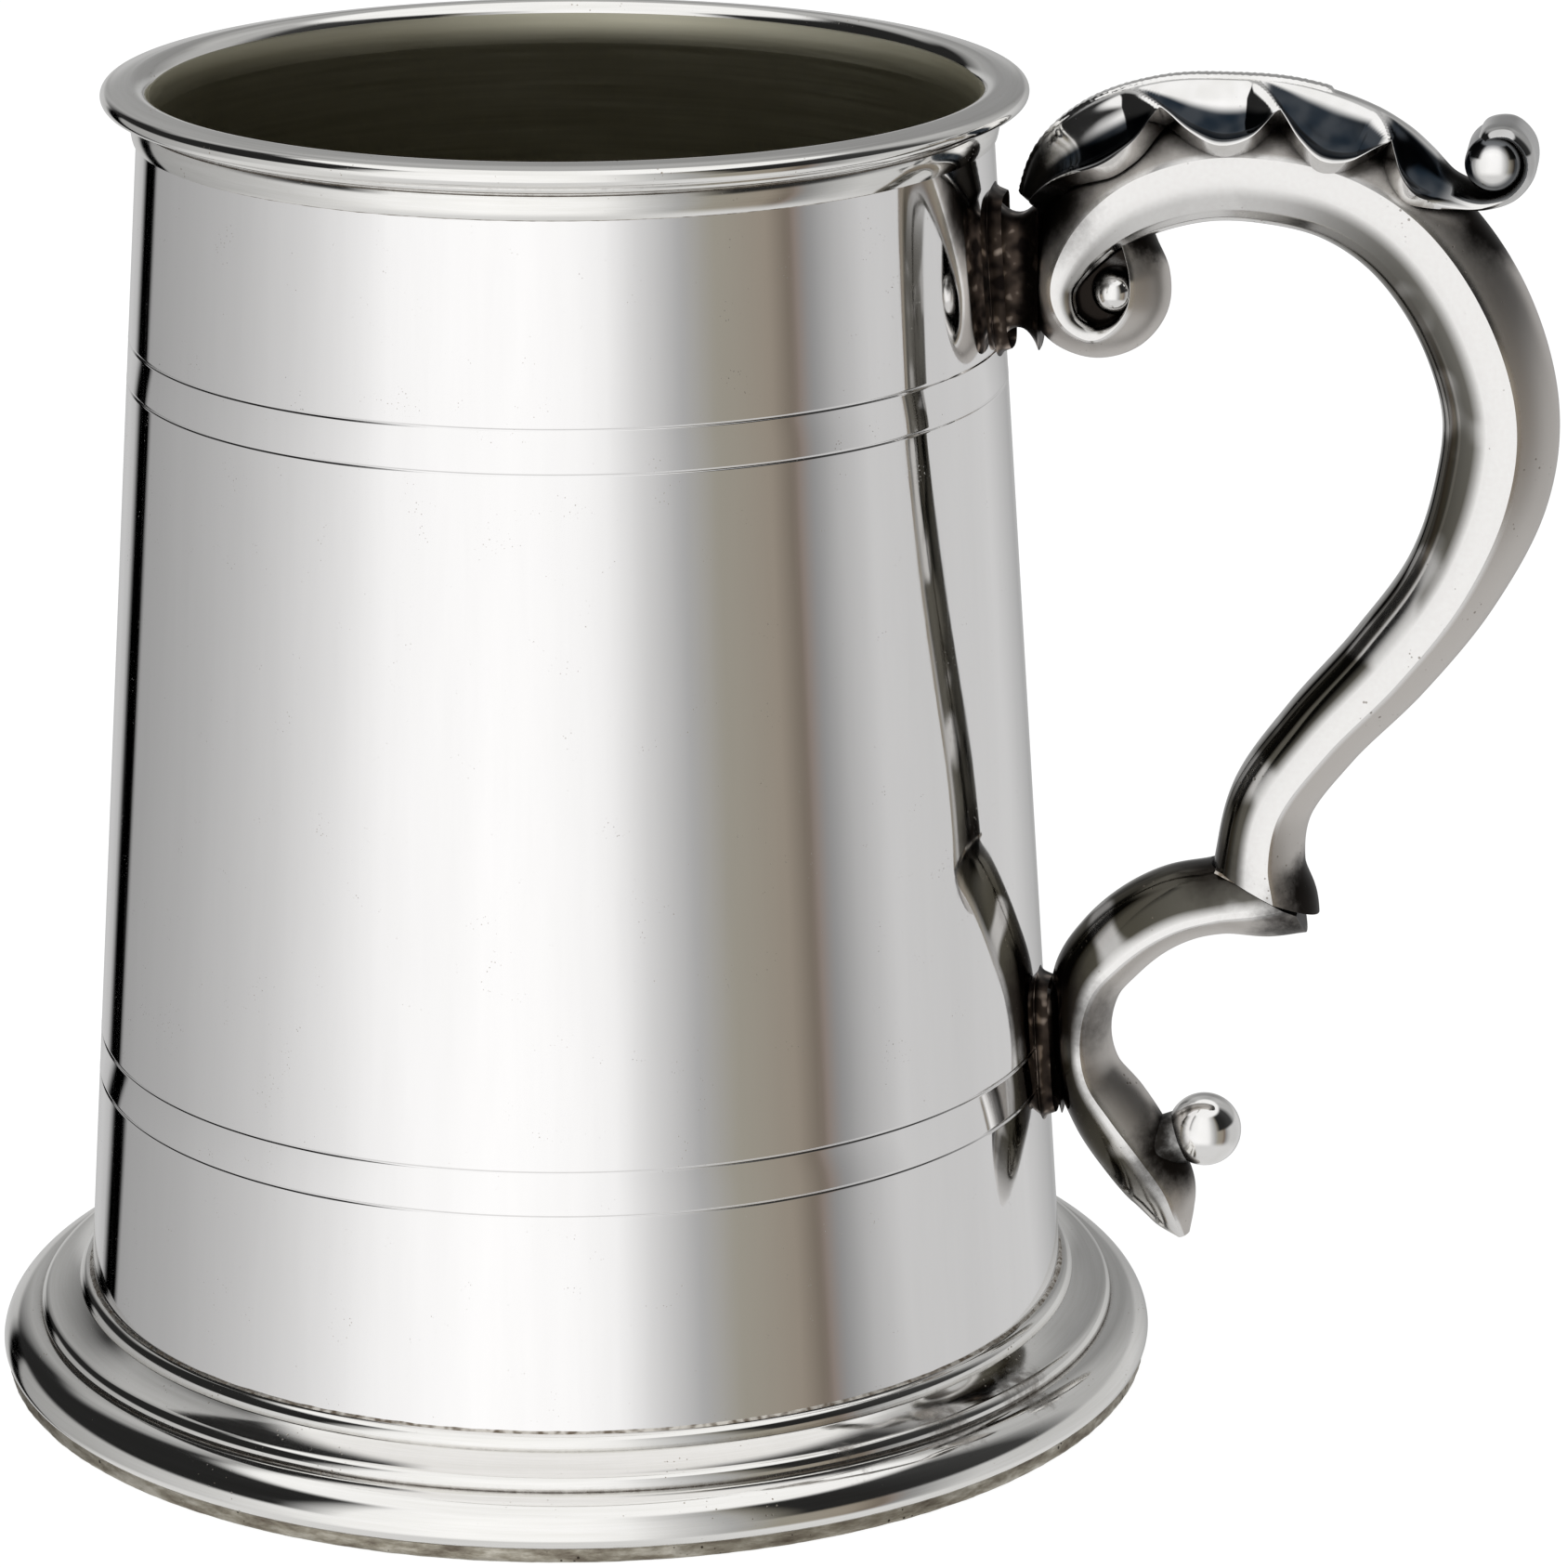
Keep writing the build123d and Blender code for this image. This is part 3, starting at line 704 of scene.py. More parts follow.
def through(points, steps):
    """Smooth curve through rows of numbers, spaced by the distance between their first two columns."""
    rows = np.array(points, float)
    chords = np.sqrt(np.linalg.norm(np.diff(rows[:, :2], axis=0), axis=1))
    knots = np.concatenate([[0.0], np.cumsum(chords)])
    slopes = np.gradient(rows, knots, axis=0)
    curve = []
    for i in range(len(rows) - 1):
        width = knots[i + 1] - knots[i]
        for t in np.arange(steps) / steps:
            curve.append(
                (1 + 2 * t) * (1 - t) ** 2 * rows[i]
                + t * (1 - t) ** 2 * width * slopes[i]
                + t * t * (3 - 2 * t) * rows[i + 1]
                + t * t * (t - 1) * width * slopes[i + 1]
            )
    curve.append(rows[-1])
    return np.array(curve)


def unit_tangents(rows):
    """Unit vectors along a curve, from the first two columns of its rows."""
    tangents = np.gradient(rows[:, :2], axis=0)
    return tangents / np.linalg.norm(tangents, axis=1)[:, None]


def smooth_step(value, low, high):
    """0 below low, 1 above high and a smooth rise between."""
    share = np.clip((value - low) / (high - low), 0, 1)
    return share * share * (3 - 2 * share)


def ring_faces(rings, around, closed=False):
    """Faces from each ring of points to the next, and if closed from the last ring to the first."""
    faces = []
    for ring in range(rings if closed else rings - 1):
        a, b = ring * around, (ring + 1) % rings * around
        for i in range(around):
            j = (i + 1) % around
            faces.append((a + i, a + j, b + j, b + i))
    return faces


def end_faces(rings, around):
    """The faces that close the first and the last ring."""
    return [tuple(range(around)), tuple((rings - 1) * around + i for i in range(around))]


def make_piece(
    name, points, faces, finish, replaced=(), slot=None, sharp=32.0, second=None, in_second=(), patina_and_shade=None
):
    """A mesh piece from points in millimetres. Faces in in_second take the second finish;
    patina_and_shade has one number for each point."""
    mesh = bpy.data.meshes.new(name)
    mesh.from_pydata([Vector(p) * MM for p in points], [], faces)
    if patina_and_shade is not None:
        painted = mesh.attributes.new("patina_and_shade", "FLOAT", "POINT")
        painted.data.foreach_set("value", np.array(patina_and_shade, np.float32))
    mesh.materials.append(finish)
    if second is not None:
        mesh.materials.append(second)
        for index in in_second:
            mesh.polygons[index].material_index = 1
    work = bmesh.new()
    work.from_mesh(mesh)
    bmesh.ops.remove_doubles(work, verts=work.verts, dist=0.5e-6)
    bmesh.ops.recalc_face_normals(work, faces=work.faces)
    work.to_mesh(mesh)
    work.free()
    mesh.shade_smooth()
    mesh.set_sharp_from_angle(angle=math.radians(sharp))
    piece = bpy.data.objects.new(name, mesh)
    bpy.context.scene.collection.objects.link(piece)
    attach(piece, "root")
    if replaced:
        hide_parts(*replaced)
    print(name, len(mesh.polygons), "faces")
    return piece


def turned(name, outline, finish, segments=360, shift=None, second=None, is_second=None, **about):
    """Spins a closed outline of (radius, height) round Z. shift(angle, height) moves points outward."""
    count = len(outline)
    points, faces, marked = [], [], []
    for step in range(segments):
        angle = math.tau * step / segments
        for radius, height in outline:
            out = radius + (shift(angle, height) if shift else 0.0)
            points.append((out * math.cos(angle), out * math.sin(angle), height))
    for step in range(segments):
        here, there = step * count, (step + 1) % segments * count
        for i in range(count):
            j = (i + 1) % count
            if is_second and is_second(outline[i], outline[j]):
                marked.append(len(faces))
            faces.append((here + i, there + i, there + j, here + j))
    return make_piece(name, points, faces, finish, second=second, in_second=marked, **about)


print("lathe ready")

# %% [markdown]
# ## Drum
#
# The drum is spun from sheet and slightly tapered. Four lines are scribed round it: a point held against
# the turning metal ploughs a groove a quarter of a millimetre wide and throws up a burr on each side. They
# are real grooves in this mesh, so they catch light from every side. Outside and inside are one mesh with
# two finishes.

# %% Turn the drum
drum_low, drum_high = frame_mm("body_drum")
floor_low, floor_high = frame_mm("base_disc")
DRUM_WALL = 1.2
DRUM_TAPER = 0.0667
DRUM_BASE_RADIUS = drum_high.x + DRUM_TAPER * drum_low.z
SCRIBED_LINES = (28.96, 33.0, 95.2, 99.14)
# half of a groove as (distance from its middle, height above the metal), and then the whole of it
HALF_GROOVE = [(0.04, -0.075), (0.1, -0.02), (0.15, 0.015), (0.24, 0.0)]
GROOVE = [(-away, out) for away, out in HALF_GROOVE[::-1]] + HALF_GROOVE


def drum_radius(height):
    """Outer radius of the drum at a height."""
    return DRUM_BASE_RADIUS - DRUM_TAPER * height


def drum_outline():
    """The drum's wall, up the outside with its grooves and down the inside."""
    outside = [(drum_radius(drum_low.z), drum_low.z)]
    for line in SCRIBED_LINES:
        outside += [(drum_radius(line + up) + out, line + up) for up, out in GROOVE]
    outside.append((drum_radius(drum_high.z), drum_high.z))
    inside = [(drum_radius(z) - DRUM_WALL, z) for z in np.linspace(drum_high.z, drum_low.z, 12)]
    return outside + inside


def on_the_inside(first, last):
    """True for the stretch of outline that runs down the inside of the drum."""
    return first[1] > last[1] and first[0] < drum_radius(first[1]) - 0.5 * DRUM_WALL


turned(
    "drum", drum_outline(), POLISHED_DRUM, segments=480, replaced=["body_drum"], slot="polished_pewter",
    sharp=50.0, second=SATIN_INSIDE, is_second=on_the_inside,
)

# %% [markdown]
# ## Cup floor
#
# The floor is a flat disc whose edge sits inside the drum. A thin run of solder closes the corner. Seen
# from above it shows the brushing rings of the lathe, so a few shallow rings are turned into it.

# %% Turn the cup floor
RING_DEPTH = 0.06


def cup_floor_outline():
    """Half section of the disc, with shallow turned rings on its top."""
    top = []
    for radius in np.linspace(floor_high.x - 0.15, 0.0, 60):
        dip = RING_DEPTH * (0.5 - 0.5 * math.cos(radius * 1.9)) * min(1.0, radius / 8)
        top.append((radius, floor_high.z - dip))
    return [(0.0, floor_low.z), (floor_high.x, floor_low.z)] + top


turned(
    "cup_floor", cup_floor_outline(), SATIN_INSIDE, segments=240, replaced=["base_disc"],
    slot="satin_pewter",
)

# %% [markdown]
# ## Lip
#
# The lip is a heavy turned ring. From below: a narrow convex band lapped over the drum, a sharp cove, a
# small bead, a hollow that sweeps out to the rounded edge, a flat top that leans inwards a little and a
# rounded mouth. The corners have small radii, because a buffing wheel takes every corner down a bit.

# %% Turn the lip
lip_low, lip_high = frame_mm("rim_mount")
MOUTH_START = 2.4
MOUTH_DEPTH = 1.2
MOUTH_POLISH_DEPTH = 0.9
THROAT_INWARD = 3.4


def lip(inward, down):
    """A point of the lip, measured inward from its edge and down from its top."""
    return (lip_high.x - inward, lip_high.z - down)


def lip_outline():
    """The lip's closed outline, from the lap on the drum up the outside and down the mouth."""
    lap = drum_radius(lip_low.z)
    band = arc((lap + 0.3, lip_low.z + 0.02), lip(2.66, 4.0), lip(2.8, 3.0), 10)
    cove = arc(lip(2.8, 3.0), lip(2.95, 2.84), lip(2.75, 2.68), 6)
    bead = arc(lip(2.75, 2.68), lip(2.38, 2.52), lip(2.3, 2.2), 8)
    under = arc(lip(2.3, 2.2), lip(1.75, 1.92), lip(1.0, 1.85), 6)
    edge = arc(lip(1.0, 1.85), lip(0.0, 1.05), lip(0.8, 0.25), 18)
    flat = arc(lip(0.8, 0.25), lip(1.6, 0.08), lip(MOUTH_START, 0.0), 6)
    seat = (drum_radius(drum_high.z), drum_high.z)
    inner = seat[0] - DRUM_WALL
    shoulder = lip_high.x - MOUTH_START - 0.7 * (lip_high.x - MOUTH_START - inner)
    middle = (shoulder, lip_high.z - 0.3 * MOUTH_DEPTH)
    mouth = arc(lip(MOUTH_START, 0.0), middle, (inner, lip_high.z - MOUTH_DEPTH), 14)
    runs = [band, cove[1:], bead[1:], under[1:], edge[1:], flat[1:], mouth[1:]]
    return [point for run in runs for point in run] + [(inner, drum_high.z), seat, (lap, lip_low.z)]


def in_the_throat(first, last):
    """True for the stretch of the lip inside the mouth that has the cup's satin finish."""
    radius, height = max(first[0], last[0]), max(first[1], last[1])
    return height < lip_high.z - MOUTH_POLISH_DEPTH and radius < lip_high.x - THROAT_INWARD


turned(
    "lip_ring", lip_outline(), POLISHED_MOULDING, segments=480, replaced=["rim_mount"],
    slot="polished_pewter", second=SATIN_INSIDE, is_second=in_the_throat,
)

# %% [markdown]
# ## Foot
#
# The foot is a hollow casting, turned all over: a small collar hugs the drum, then a sloping tier with a
# sharp crease above it, a step, and a broad dome that rolls under to the standing edge. Below it sits a
# square edge that nobody polishes, so it keeps the skin of the mould. That edge has real bumps.

# %% Turn the foot
_, foot_high = frame_mm("foot_ring")
_, edge_high = frame_mm("foot_edge_ring")
SEAT_RADIUS = 44.0


def foot(inward, height):
    """A point of the foot, measured inward from its widest radius and up from the table."""
    return (foot_high.x - inward, height)


def foot_outline():
    """The foot's closed outline, down the outside and up the hollow inside."""
    crown = foot(8.05, foot_high.z)
    crease, tier, step = foot(7.36, 7.75), foot(4.15, 6.65), foot(3.66, 5.4)
    dome, seat = foot(0.0, 2.5), (edge_high.x, edge_high.z)
    collar = arc(crown, foot(7.42, 8.5), foot(7.33, 7.9), 8)
    slope = arc(crease, foot(5.88, 7.12), tier, 10)
    nose = arc(tier, foot(3.74, 6.2), step, 7)
    upper_dome = arc(step, foot(0.86, 4.35), dome, 22)
    lower_dome = arc(dome, foot(0.1, 1.85), seat, 6)
    hollow = arc(foot(1.7, edge_high.z), foot(2.3, 3.3), foot(4.9, 4.2), 8)
    ledge = [foot(5.3, 5.3), foot(7.7, 6.0), (SEAT_RADIUS, 6.0), (SEAT_RADIUS, drum_low.z)]
    drum_seat = [(drum_radius(drum_low.z), drum_low.z), (drum_radius(foot_high.z), foot_high.z)]
    return collar + slope + nose[1:] + upper_dome[1:] + lower_dome[1:] + hollow + ledge + drum_seat


turned(
    "stepped_foot", foot_outline(), POLISHED_MOULDING, segments=480, replaced=["foot_ring"],
    slot="polished_pewter", sharp=28.0,
)

# %% Turn the rough edge
EDGE_ROUGHNESS = 0.07
EDGE_INSIDE_RADIUS = 52.4
# height below which the outside of the edge is worn round
WORN_HEIGHT = 0.45


def mould_skin(angle, height):
    """Outward bumps of the mould's skin at a place on the edge."""
    place = Vector((math.cos(angle) * 34, math.sin(angle) * 34, height * 1.1))
    return EDGE_ROUGHNESS * (noise.noise(place) + 0.5 * noise.noise(place * 3.1) - 0.6)


def edge_outline():
    """A square ring with its lower outside corner worn round."""
    out = edge_high.x
    outer = [(out, z) for z in np.linspace(edge_high.z, WORN_HEIGHT, 6)]
    worn = arc((out, WORN_HEIGHT), (out - 0.12, 0.13), (out - 0.5, 0.0), 4)[1:]
    return outer + worn + [(EDGE_INSIDE_RADIUS, 0.0), (EDGE_INSIDE_RADIUS, edge_high.z)]


turned(
    "cast_edge", edge_outline(), CAST_EDGE, segments=720, shift=mould_skin, replaced=["foot_edge_ring"],
    slot="rough_cast_edge", sharp=60.0,
)

# %% [markdown]
# ## Solder runs
#
# Lip, foot and floor are soldered to the drum. The runs are thin and slightly uneven, so each is a small
# triangle spun round the axis with a little noise in its width.


# %% Run the solder
def solder_run(name, node, radius, height, size, rise):
    """A thin uneven ring of solder in the corner between the drum and a level face."""
    def unevenness(angle, level):
        return 0.25 * abs(size) * noise.noise(Vector((math.cos(angle) * 30, math.sin(angle) * 30, height)))

    inside, hollow = radius - 0.05, (radius + 0.4 * size, height + 0.35 * rise)
    corner = [(inside, height), (radius + size, height), hollow, (inside, height + rise)]
    turned(name, corner, SOLDER, segments=480, shift=unevenness, replaced=[node], slot="solder", sharp=70.0)


floor_corner = drum_radius(floor_high.z) - DRUM_WALL
solder_run("lip_solder_run", "rim_solder", drum_radius(lip_low.z), lip_low.z, 0.14, -0.16)
solder_run("foot_solder_run", "foot_solder", drum_radius(foot_high.z), foot_high.z, 0.26, 0.22)
solder_run("floor_solder_run", "floor_solder", floor_corner, floor_high.z, -0.45, 0.45)
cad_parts["break_solder"].data.materials.clear()
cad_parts["break_solder"].data.materials.append(SOLDER)
print("solder in place")

# %% [markdown]
# ## The scrolls
#
# The handle is cast as two C-shaped scrolls. Their section is a heavy one: a domed back between two crisp
# edges, flat sides, and a rounded underside set off by a fine line. A curve with a bevel profile could
# draw it, but the section changes along the way, so the mesh is built ring by ring: at each station of
# the centre line the section is drawn across it, with that station's thickness and width.


# %% Section and sweep
BACK_STEPS = 18
SIDE_STEPS = 16
LINE_PLACE = 0.62
LINE_DEPTH = 0.09


def section_patina_and_shade(patina_and_shade, olive_from, olive_to):
    """Patina and painted dark reflection of each point of a section: a dull back, then rising over the
    given shares of the side.
    """
    shares = [i / SIDE_STEPS for i in range(SIDE_STEPS + 1)]
    side = [patina_and_shade * float(smooth_step(share, olive_from, olive_to)) for share in shares]
    near = [-1.0] * BACK_STEPS + [0.0] + side
    return near + near[1:-1][::-1]


def scroll_section(thickness, half_width, back_share, lift, roundness):
    """Closed section as (across, outward) points: domed back, crisp edge, side and underside.

    With no roundness the side is flat and turns in only near the underside, and a fine line runs along
    it there. With full roundness side and underside are one half ellipse.
    """
    crown = thickness / 2 + lift
    edge = thickness / 2 - back_share * thickness + 0.6 * max(0.0, lift)
    bevel = min(0.12, 0.04 * thickness)
    flatness = 0.42 + 0.48 * roundness
    near = []
    for i in range(BACK_STEPS + 1):
        share = i / BACK_STEPS
        outward = edge + bevel + (crown - edge - bevel) * (1 - share**2.1)
        near.append((share * (half_width - bevel), outward))
    for i in range(SIDE_STEPS + 1):
        share = i / SIDE_STEPS
        turn = 0.5 * math.pi * share
        across = half_width * max(0.0, math.cos(turn)) ** flatness
        down = (edge + thickness / 2) * math.sin(turn) ** 0.95
        groove = LINE_DEPTH * (1 - roundness) * math.exp(-(((share - LINE_PLACE) / 0.03) ** 2))
        near.append((across - groove, edge - bevel * 0.5 - down + groove))
    far = [(-across, outward) for across, outward in near[1:-1]]
    return near + far[::-1]


def swept(stations, steps, olive):
    """Rings of a scroll: its points, faces, and patina with painted dark reflection.

    Stations are (x, z, thickness, half width, back share, lift, roundness, patina and painted dark
    reflection).
    """
    rows = through(stations, steps)
    tangents = unit_tangents(rows)
    points, patina_and_shade = [], []
    for (x, z, *measures, dark), (tx, tz) in zip(rows, tangents):
        section = scroll_section(*measures)
        patina_and_shade += section_patina_and_shade(dark, *olive)
        points += [(x - tz * outward, -across, z + tx * outward) for across, outward in section]
    rings, around = len(rows), len(section)
    return points, ring_faces(rings, around) + end_faces(rings, around), patina_and_shade


def trim(piece, place, normal):
    """Cuts a piece at a plane, removes what the normal points to and closes the cut."""
    work = bmesh.new()
    work.from_mesh(piece.data)
    everything = work.verts[:] + work.edges[:] + work.faces[:]
    cut = bmesh.ops.bisect_plane(
        work, geom=everything, plane_co=Vector(place) * MM, plane_no=normal, clear_outer=True
    )
    rim = [g for g in cut["geom_cut"] if isinstance(g, bmesh.types.BMEdge)]
    bmesh.ops.holes_fill(work, edges=rim, sides=0)
    bmesh.ops.recalc_face_normals(work, faces=work.faces)
    work.to_mesh(piece.data)
    work.free()
    piece.data.shade_smooth()
    piece.data.set_sharp_from_angle(angle=math.radians(32.0))


print("sweep ready")

# %% [markdown]
# ### Upper scroll
#
# It starts as a rolled strip in the volute beside the drum, thickens over the arch, carries its full
# weight down the back where the palm presses, and thins towards the break. There it flares a little, so
# that its end stands over the lower scroll like a collar.

# %% Upper scroll stations
BREAK_INNER = (60.7, 50.9)
BREAK_OUTER = (67.9, 47.4)
# the last column darkens the side towards the underside: olive patina and painted dark reflection
UPPER_STATIONS = [
    (51.6, 111.4, 2.6, 3.5, 0.90, 0.0, 0.6, 0.5),
    (52.7, 108.4, 2.9, 3.7, 0.90, 0.0, 0.6, 0.5),
    (53.5, 105.9, 3.4, 4.1, 0.92, 0.0, 0.6, 0.4),
    (53.3, 103.1, 3.7, 4.2, 0.90, 0.0, 0.6, 0.35),
    (51.5, 100.8, 3.8, 4.2, 0.80, 0.0, 0.5, 0.4),
    (48.6, 99.95, 3.8, 4.2, 0.62, 0.0, 0.3, 0.5),
    (45.7, 101.4, 4.5, 4.3, 0.60, 0.0, 0.1, 0.6),
    (44.6, 104.9, 5.5, 4.4, 0.54, 0.0, 0.0, 0.6),
    (46.5, 109.6, 7.8, 4.7, 0.48, -0.6, 0.0, 0.4),
    (51.2, 114.1, 9.8, 5.0, 0.44, -0.9, 0.0, 0.1),
    (58.0, 116.4, 10.3, 5.0, 0.40, -0.9, 0.0, 0.1),
    (64.5, 116.4, 10.4, 5.0, 0.38, -0.9, 0.05, 0.2),
    (71.0, 114.9, 10.5, 5.0, 0.37, -0.9, 0.1, 0.6),
    (77.0, 111.0, 10.6, 5.0, 0.36, -0.3, 0.2, 0.85),
    (82.2, 103.9, 10.5, 5.0, 0.35, 0.0, 0.3, 0.9),
    (85.2, 94.9, 10.4, 5.0, 0.34, 0.0, 0.35, 0.92),
    (84.7, 87.2, 10.3, 5.0, 0.34, 0.0, 0.35, 0.95),
    (81.4, 78.5, 8.9, 4.9, 0.34, 0.0, 0.4, 0.97),
    (75.9, 70.6, 8.4, 4.8, 0.34, 0.0, 0.4, 0.97),
    (69.8, 63.5, 7.8, 4.7, 0.35, 0.0, 0.45, 0.97),
    (65.5, 57.0, 7.7, 4.6, 0.36, 0.0, 0.5, 0.97),
    (64.4, 51.8, 7.8, 4.7, 0.37, 0.4, 0.5, 0.95),
    (64.2, 48.0, 8.2, 4.9, 0.37, 1.6, 0.5, 0.9),
    (64.1, 44.0, 8.2, 4.9, 0.37, 2.0, 0.5, 0.9),
]

break_along = Vector((BREAK_OUTER[0] - BREAK_INNER[0], 0, BREAK_OUTER[1] - BREAK_INNER[1])).normalized()
break_normal = Vector((0, 1, 0)).cross(break_along)
break_place = Vector((BREAK_INNER[0], 0, BREAK_INNER[1]))
BREAK_GAP = 0.3

# %% Cast the upper scroll
SCROLL_STEPS = 16
points, faces, patina_and_shade = swept(UPPER_STATIONS, SCROLL_STEPS, (0.24, 0.37))
upper_scroll = make_piece(
    "upper_handle_scroll", points, faces, CAST_HANDLE, replaced=["upper_scroll"], slot="cast_pewter",
    patina_and_shade=patina_and_shade,
)
trim(upper_scroll, break_place, break_normal)
print("upper scroll rings:", SCROLL_STEPS * (len(UPPER_STATIONS) - 1) + 1)

# %% [markdown]
# The eye of the volute is closed by a thin web, and a bead sits on it at each side. Both are turned
# about the Y axis: the web is a shallow disc, each bead is a dome with a small step at its foot.


# %% Pieces turned about any axis
def turned_about(origin, axis, outline, segments=64):
    """Points and faces of an outline of (distance along the axis, radius), spun round a line."""
    along = Vector(axis).normalized()
    side = along.orthogonal().normalized()
    other = along.cross(side)
    points = []
    for distance, radius in outline:
        for step in range(segments):
            angle = math.tau * step / segments
            ring = side * math.cos(angle) + other * math.sin(angle)
            points.append(Vector(origin) + along * distance + ring * radius)
    return points, ring_faces(len(outline), segments)


def merged(*solids):
    """Joins several (points, faces) into one."""
    points, faces = [], []
    for more_points, more_faces in solids:
        start = len(points)
        points += list(more_points)
        faces += [tuple(start + i for i in face) for face in more_faces]
    return points, faces


def bead_dome(base, radius, height, foot=0.35):
    """Outline of a domed bead that stands on a plane: a short wall, then an elliptic dome."""
    rounded = [
        (base + foot + (height - foot) * math.sin(t), radius * math.cos(t))
        for t in np.linspace(0, math.pi / 2, 16)
    ]
    return [(base - 1.0, 0.0), (base - 1.0, radius)] + rounded


# %% Web and beads of the volute
VOLUTE_EYE = (50.5, 104.7)
WEB_CENTRE = (49.8, 104.4)
WEB_RADIUS = 4.4
WEB_HALF = 1.7
EYE_BEAD_RADIUS = 2.2
EYE_BEAD_TOP = 4.9

web_outline = [(-WEB_HALF, 0.0), (-WEB_HALF, WEB_RADIUS - 0.2), (-WEB_HALF + 0.2, WEB_RADIUS)]
web_outline += [(-distance, radius) for distance, radius in web_outline[::-1]]
points, faces = turned_about((WEB_CENTRE[0], 0, WEB_CENTRE[1]), (0, 1, 0), web_outline)
make_piece("volute_web", points, faces, CAST_HANDLE, slot="cast_pewter")

eye_outline = bead_dome(WEB_HALF - 0.3, EYE_BEAD_RADIUS, EYE_BEAD_TOP - WEB_HALF + 0.3)
eye = (VOLUTE_EYE[0], 0, VOLUTE_EYE[1])
near_bead, far_bead = (turned_about(eye, (0, side, 0), eye_outline) for side in (-1, 1))
points, faces = merged(near_bead, far_bead)
make_piece("eye_beads", points, faces, BRIGHT_LEAF, replaced=["volute_beads"], slot="cast_pewter")

# %% [markdown]
# ### Lower scroll
#
# The lower scroll bends the other way, so its domed back is on the hollow side, in line with the back of
# the upper one. It ends in a pointed tongue, and a ball on a short neck sits in the last bend.

# %% Cast the lower scroll
# the last column darkens almost all the convex side: olive patina and painted dark reflection
LOWER_STATIONS = [
    (67.5, 49.2, 8.4, 4.2, 0.37, 0.8, 1.0, 0.85),
    (64.6, 48.3, 7.8, 4.2, 0.37, 0.7, 1.0, 0.9),
    (60.6, 47.4, 7.1, 4.2, 0.33, 0.0, 1.0, 0.95),
    (57.0, 46.5, 7.2, 4.2, 0.30, 0.0, 1.0, 0.97),
    (53.8, 44.7, 7.2, 4.2, 0.30, 0.0, 1.0, 1.0),
    (51.0, 42.1, 7.1, 4.2, 0.32, 0.0, 1.0, 1.0),
    (48.8, 38.9, 6.6, 4.2, 0.36, 0.0, 1.0, 1.0),
    (48.2, 34.0, 5.5, 4.2, 0.44, 0.0, 1.0, 1.0),
    (48.9, 29.7, 6.1, 4.1, 0.46, 0.0, 1.0, 1.0),
    (51.1, 26.0, 7.4, 4.0, 0.45, 0.0, 1.0, 1.0),
    (53.7, 22.1, 7.3, 3.7, 0.42, 0.0, 1.0, 0.95),
    (56.0, 18.7, 6.4, 3.1, 0.42, 0.0, 1.0, 0.6),
    (57.2, 15.9, 4.0, 2.2, 0.42, 0.0, 1.0, 0.2),
    (58.1, 13.9, 1.2, 0.9, 0.42, 0.0, 1.0, 0.0),
]
points, faces, patina_and_shade = swept(LOWER_STATIONS, SCROLL_STEPS, (0.08, 0.17))
lower_scroll = make_piece(
    "lower_handle_scroll", points, faces, CAST_HANDLE, replaced=["lower_scroll"], slot="cast_pewter",
    patina_and_shade=patina_and_shade,
)
trim(lower_scroll, break_place + break_normal * BREAK_GAP, -break_normal)

# %% Turn the tail ball
BALL_CENTRE = Vector((59.85, 0, 24.45))
BALL_RADIUS = 3.42
NECK_START = Vector((53.4, 0, 21.9))
NECK_RADIUS = 2.5


def ball_outline():
    """The neck from inside the scroll, flaring at its root, and the ball."""
    reach = (BALL_CENTRE - NECK_START).length
    join = math.asin(NECK_RADIUS / BALL_RADIUS)
    neck = [(0.0, 0.0), (0.0, 3.3), (1.2, 3.15), (2.2, 2.75), (3.0, NECK_RADIUS)]
    turns = np.linspace(join, math.pi, 30)
    return neck + [(reach - BALL_RADIUS * math.cos(t), BALL_RADIUS * math.sin(t)) for t in turns]


points, faces = turned_about(NECK_START, BALL_CENTRE - NECK_START, ball_outline())
make_piece(
    "tail_knob", points, faces, BRIGHT_LEAF, replaced=["tail_ball"], slot="cast_pewter", sharp=40.0,
)

# %% [markdown]
# ## The leaf
#
# An acanthus leaf lies over the arch as a thumb rest. Four overlapping petals on each side run from the
# midrib down to the edge. Each is hollow like a spoon and has a raised rim. At its tip the leaf leaves
# the handle, thickens and rolls up into a curl with a bead in its eye. Modelled by hand this would be
# sculpting; here it is a grid over the arch whose height comes from a short formula.

# %% Line and edge of the leaf
# along the outer side: x, z, half width, drop of the edge below the crown, depth of the underside
LEAF_LINE = [
    (43.4, 110.8, 3.4, 2.2, 0.6),
    (45.0, 116.0, 4.6, 3.4, 0.6),
    (48.6, 119.4, 5.0, 3.9, 0.6),
    (54.5, 121.5, 5.1, 4.0, 0.6),
    (60.5, 121.9, 5.1, 4.1, 0.6),
    (66.5, 121.5, 5.1, 4.1, 0.6),
    (72.6, 119.6, 5.1, 3.9, 0.6),
    (77.0, 116.8, 4.9, 2.9, 0.5),
    (80.0, 114.6, 4.5, 1.4, 0.2),
    (83.2, 113.4, 4.2, 0.4, 0.0),
    (86.1, 114.2, 4.1, 0.0, 0.0),
    (87.7, 116.5, 4.2, 0.0, 0.0),
    (87.5, 119.0, 4.3, 0.0, 0.0),
    (85.6, 120.8, 4.3, 0.0, 0.0),
    (83.2, 120.6, 4.2, 0.0, 0.0),
    (81.8, 119.0, 4.0, 0.0, 0.0),
]
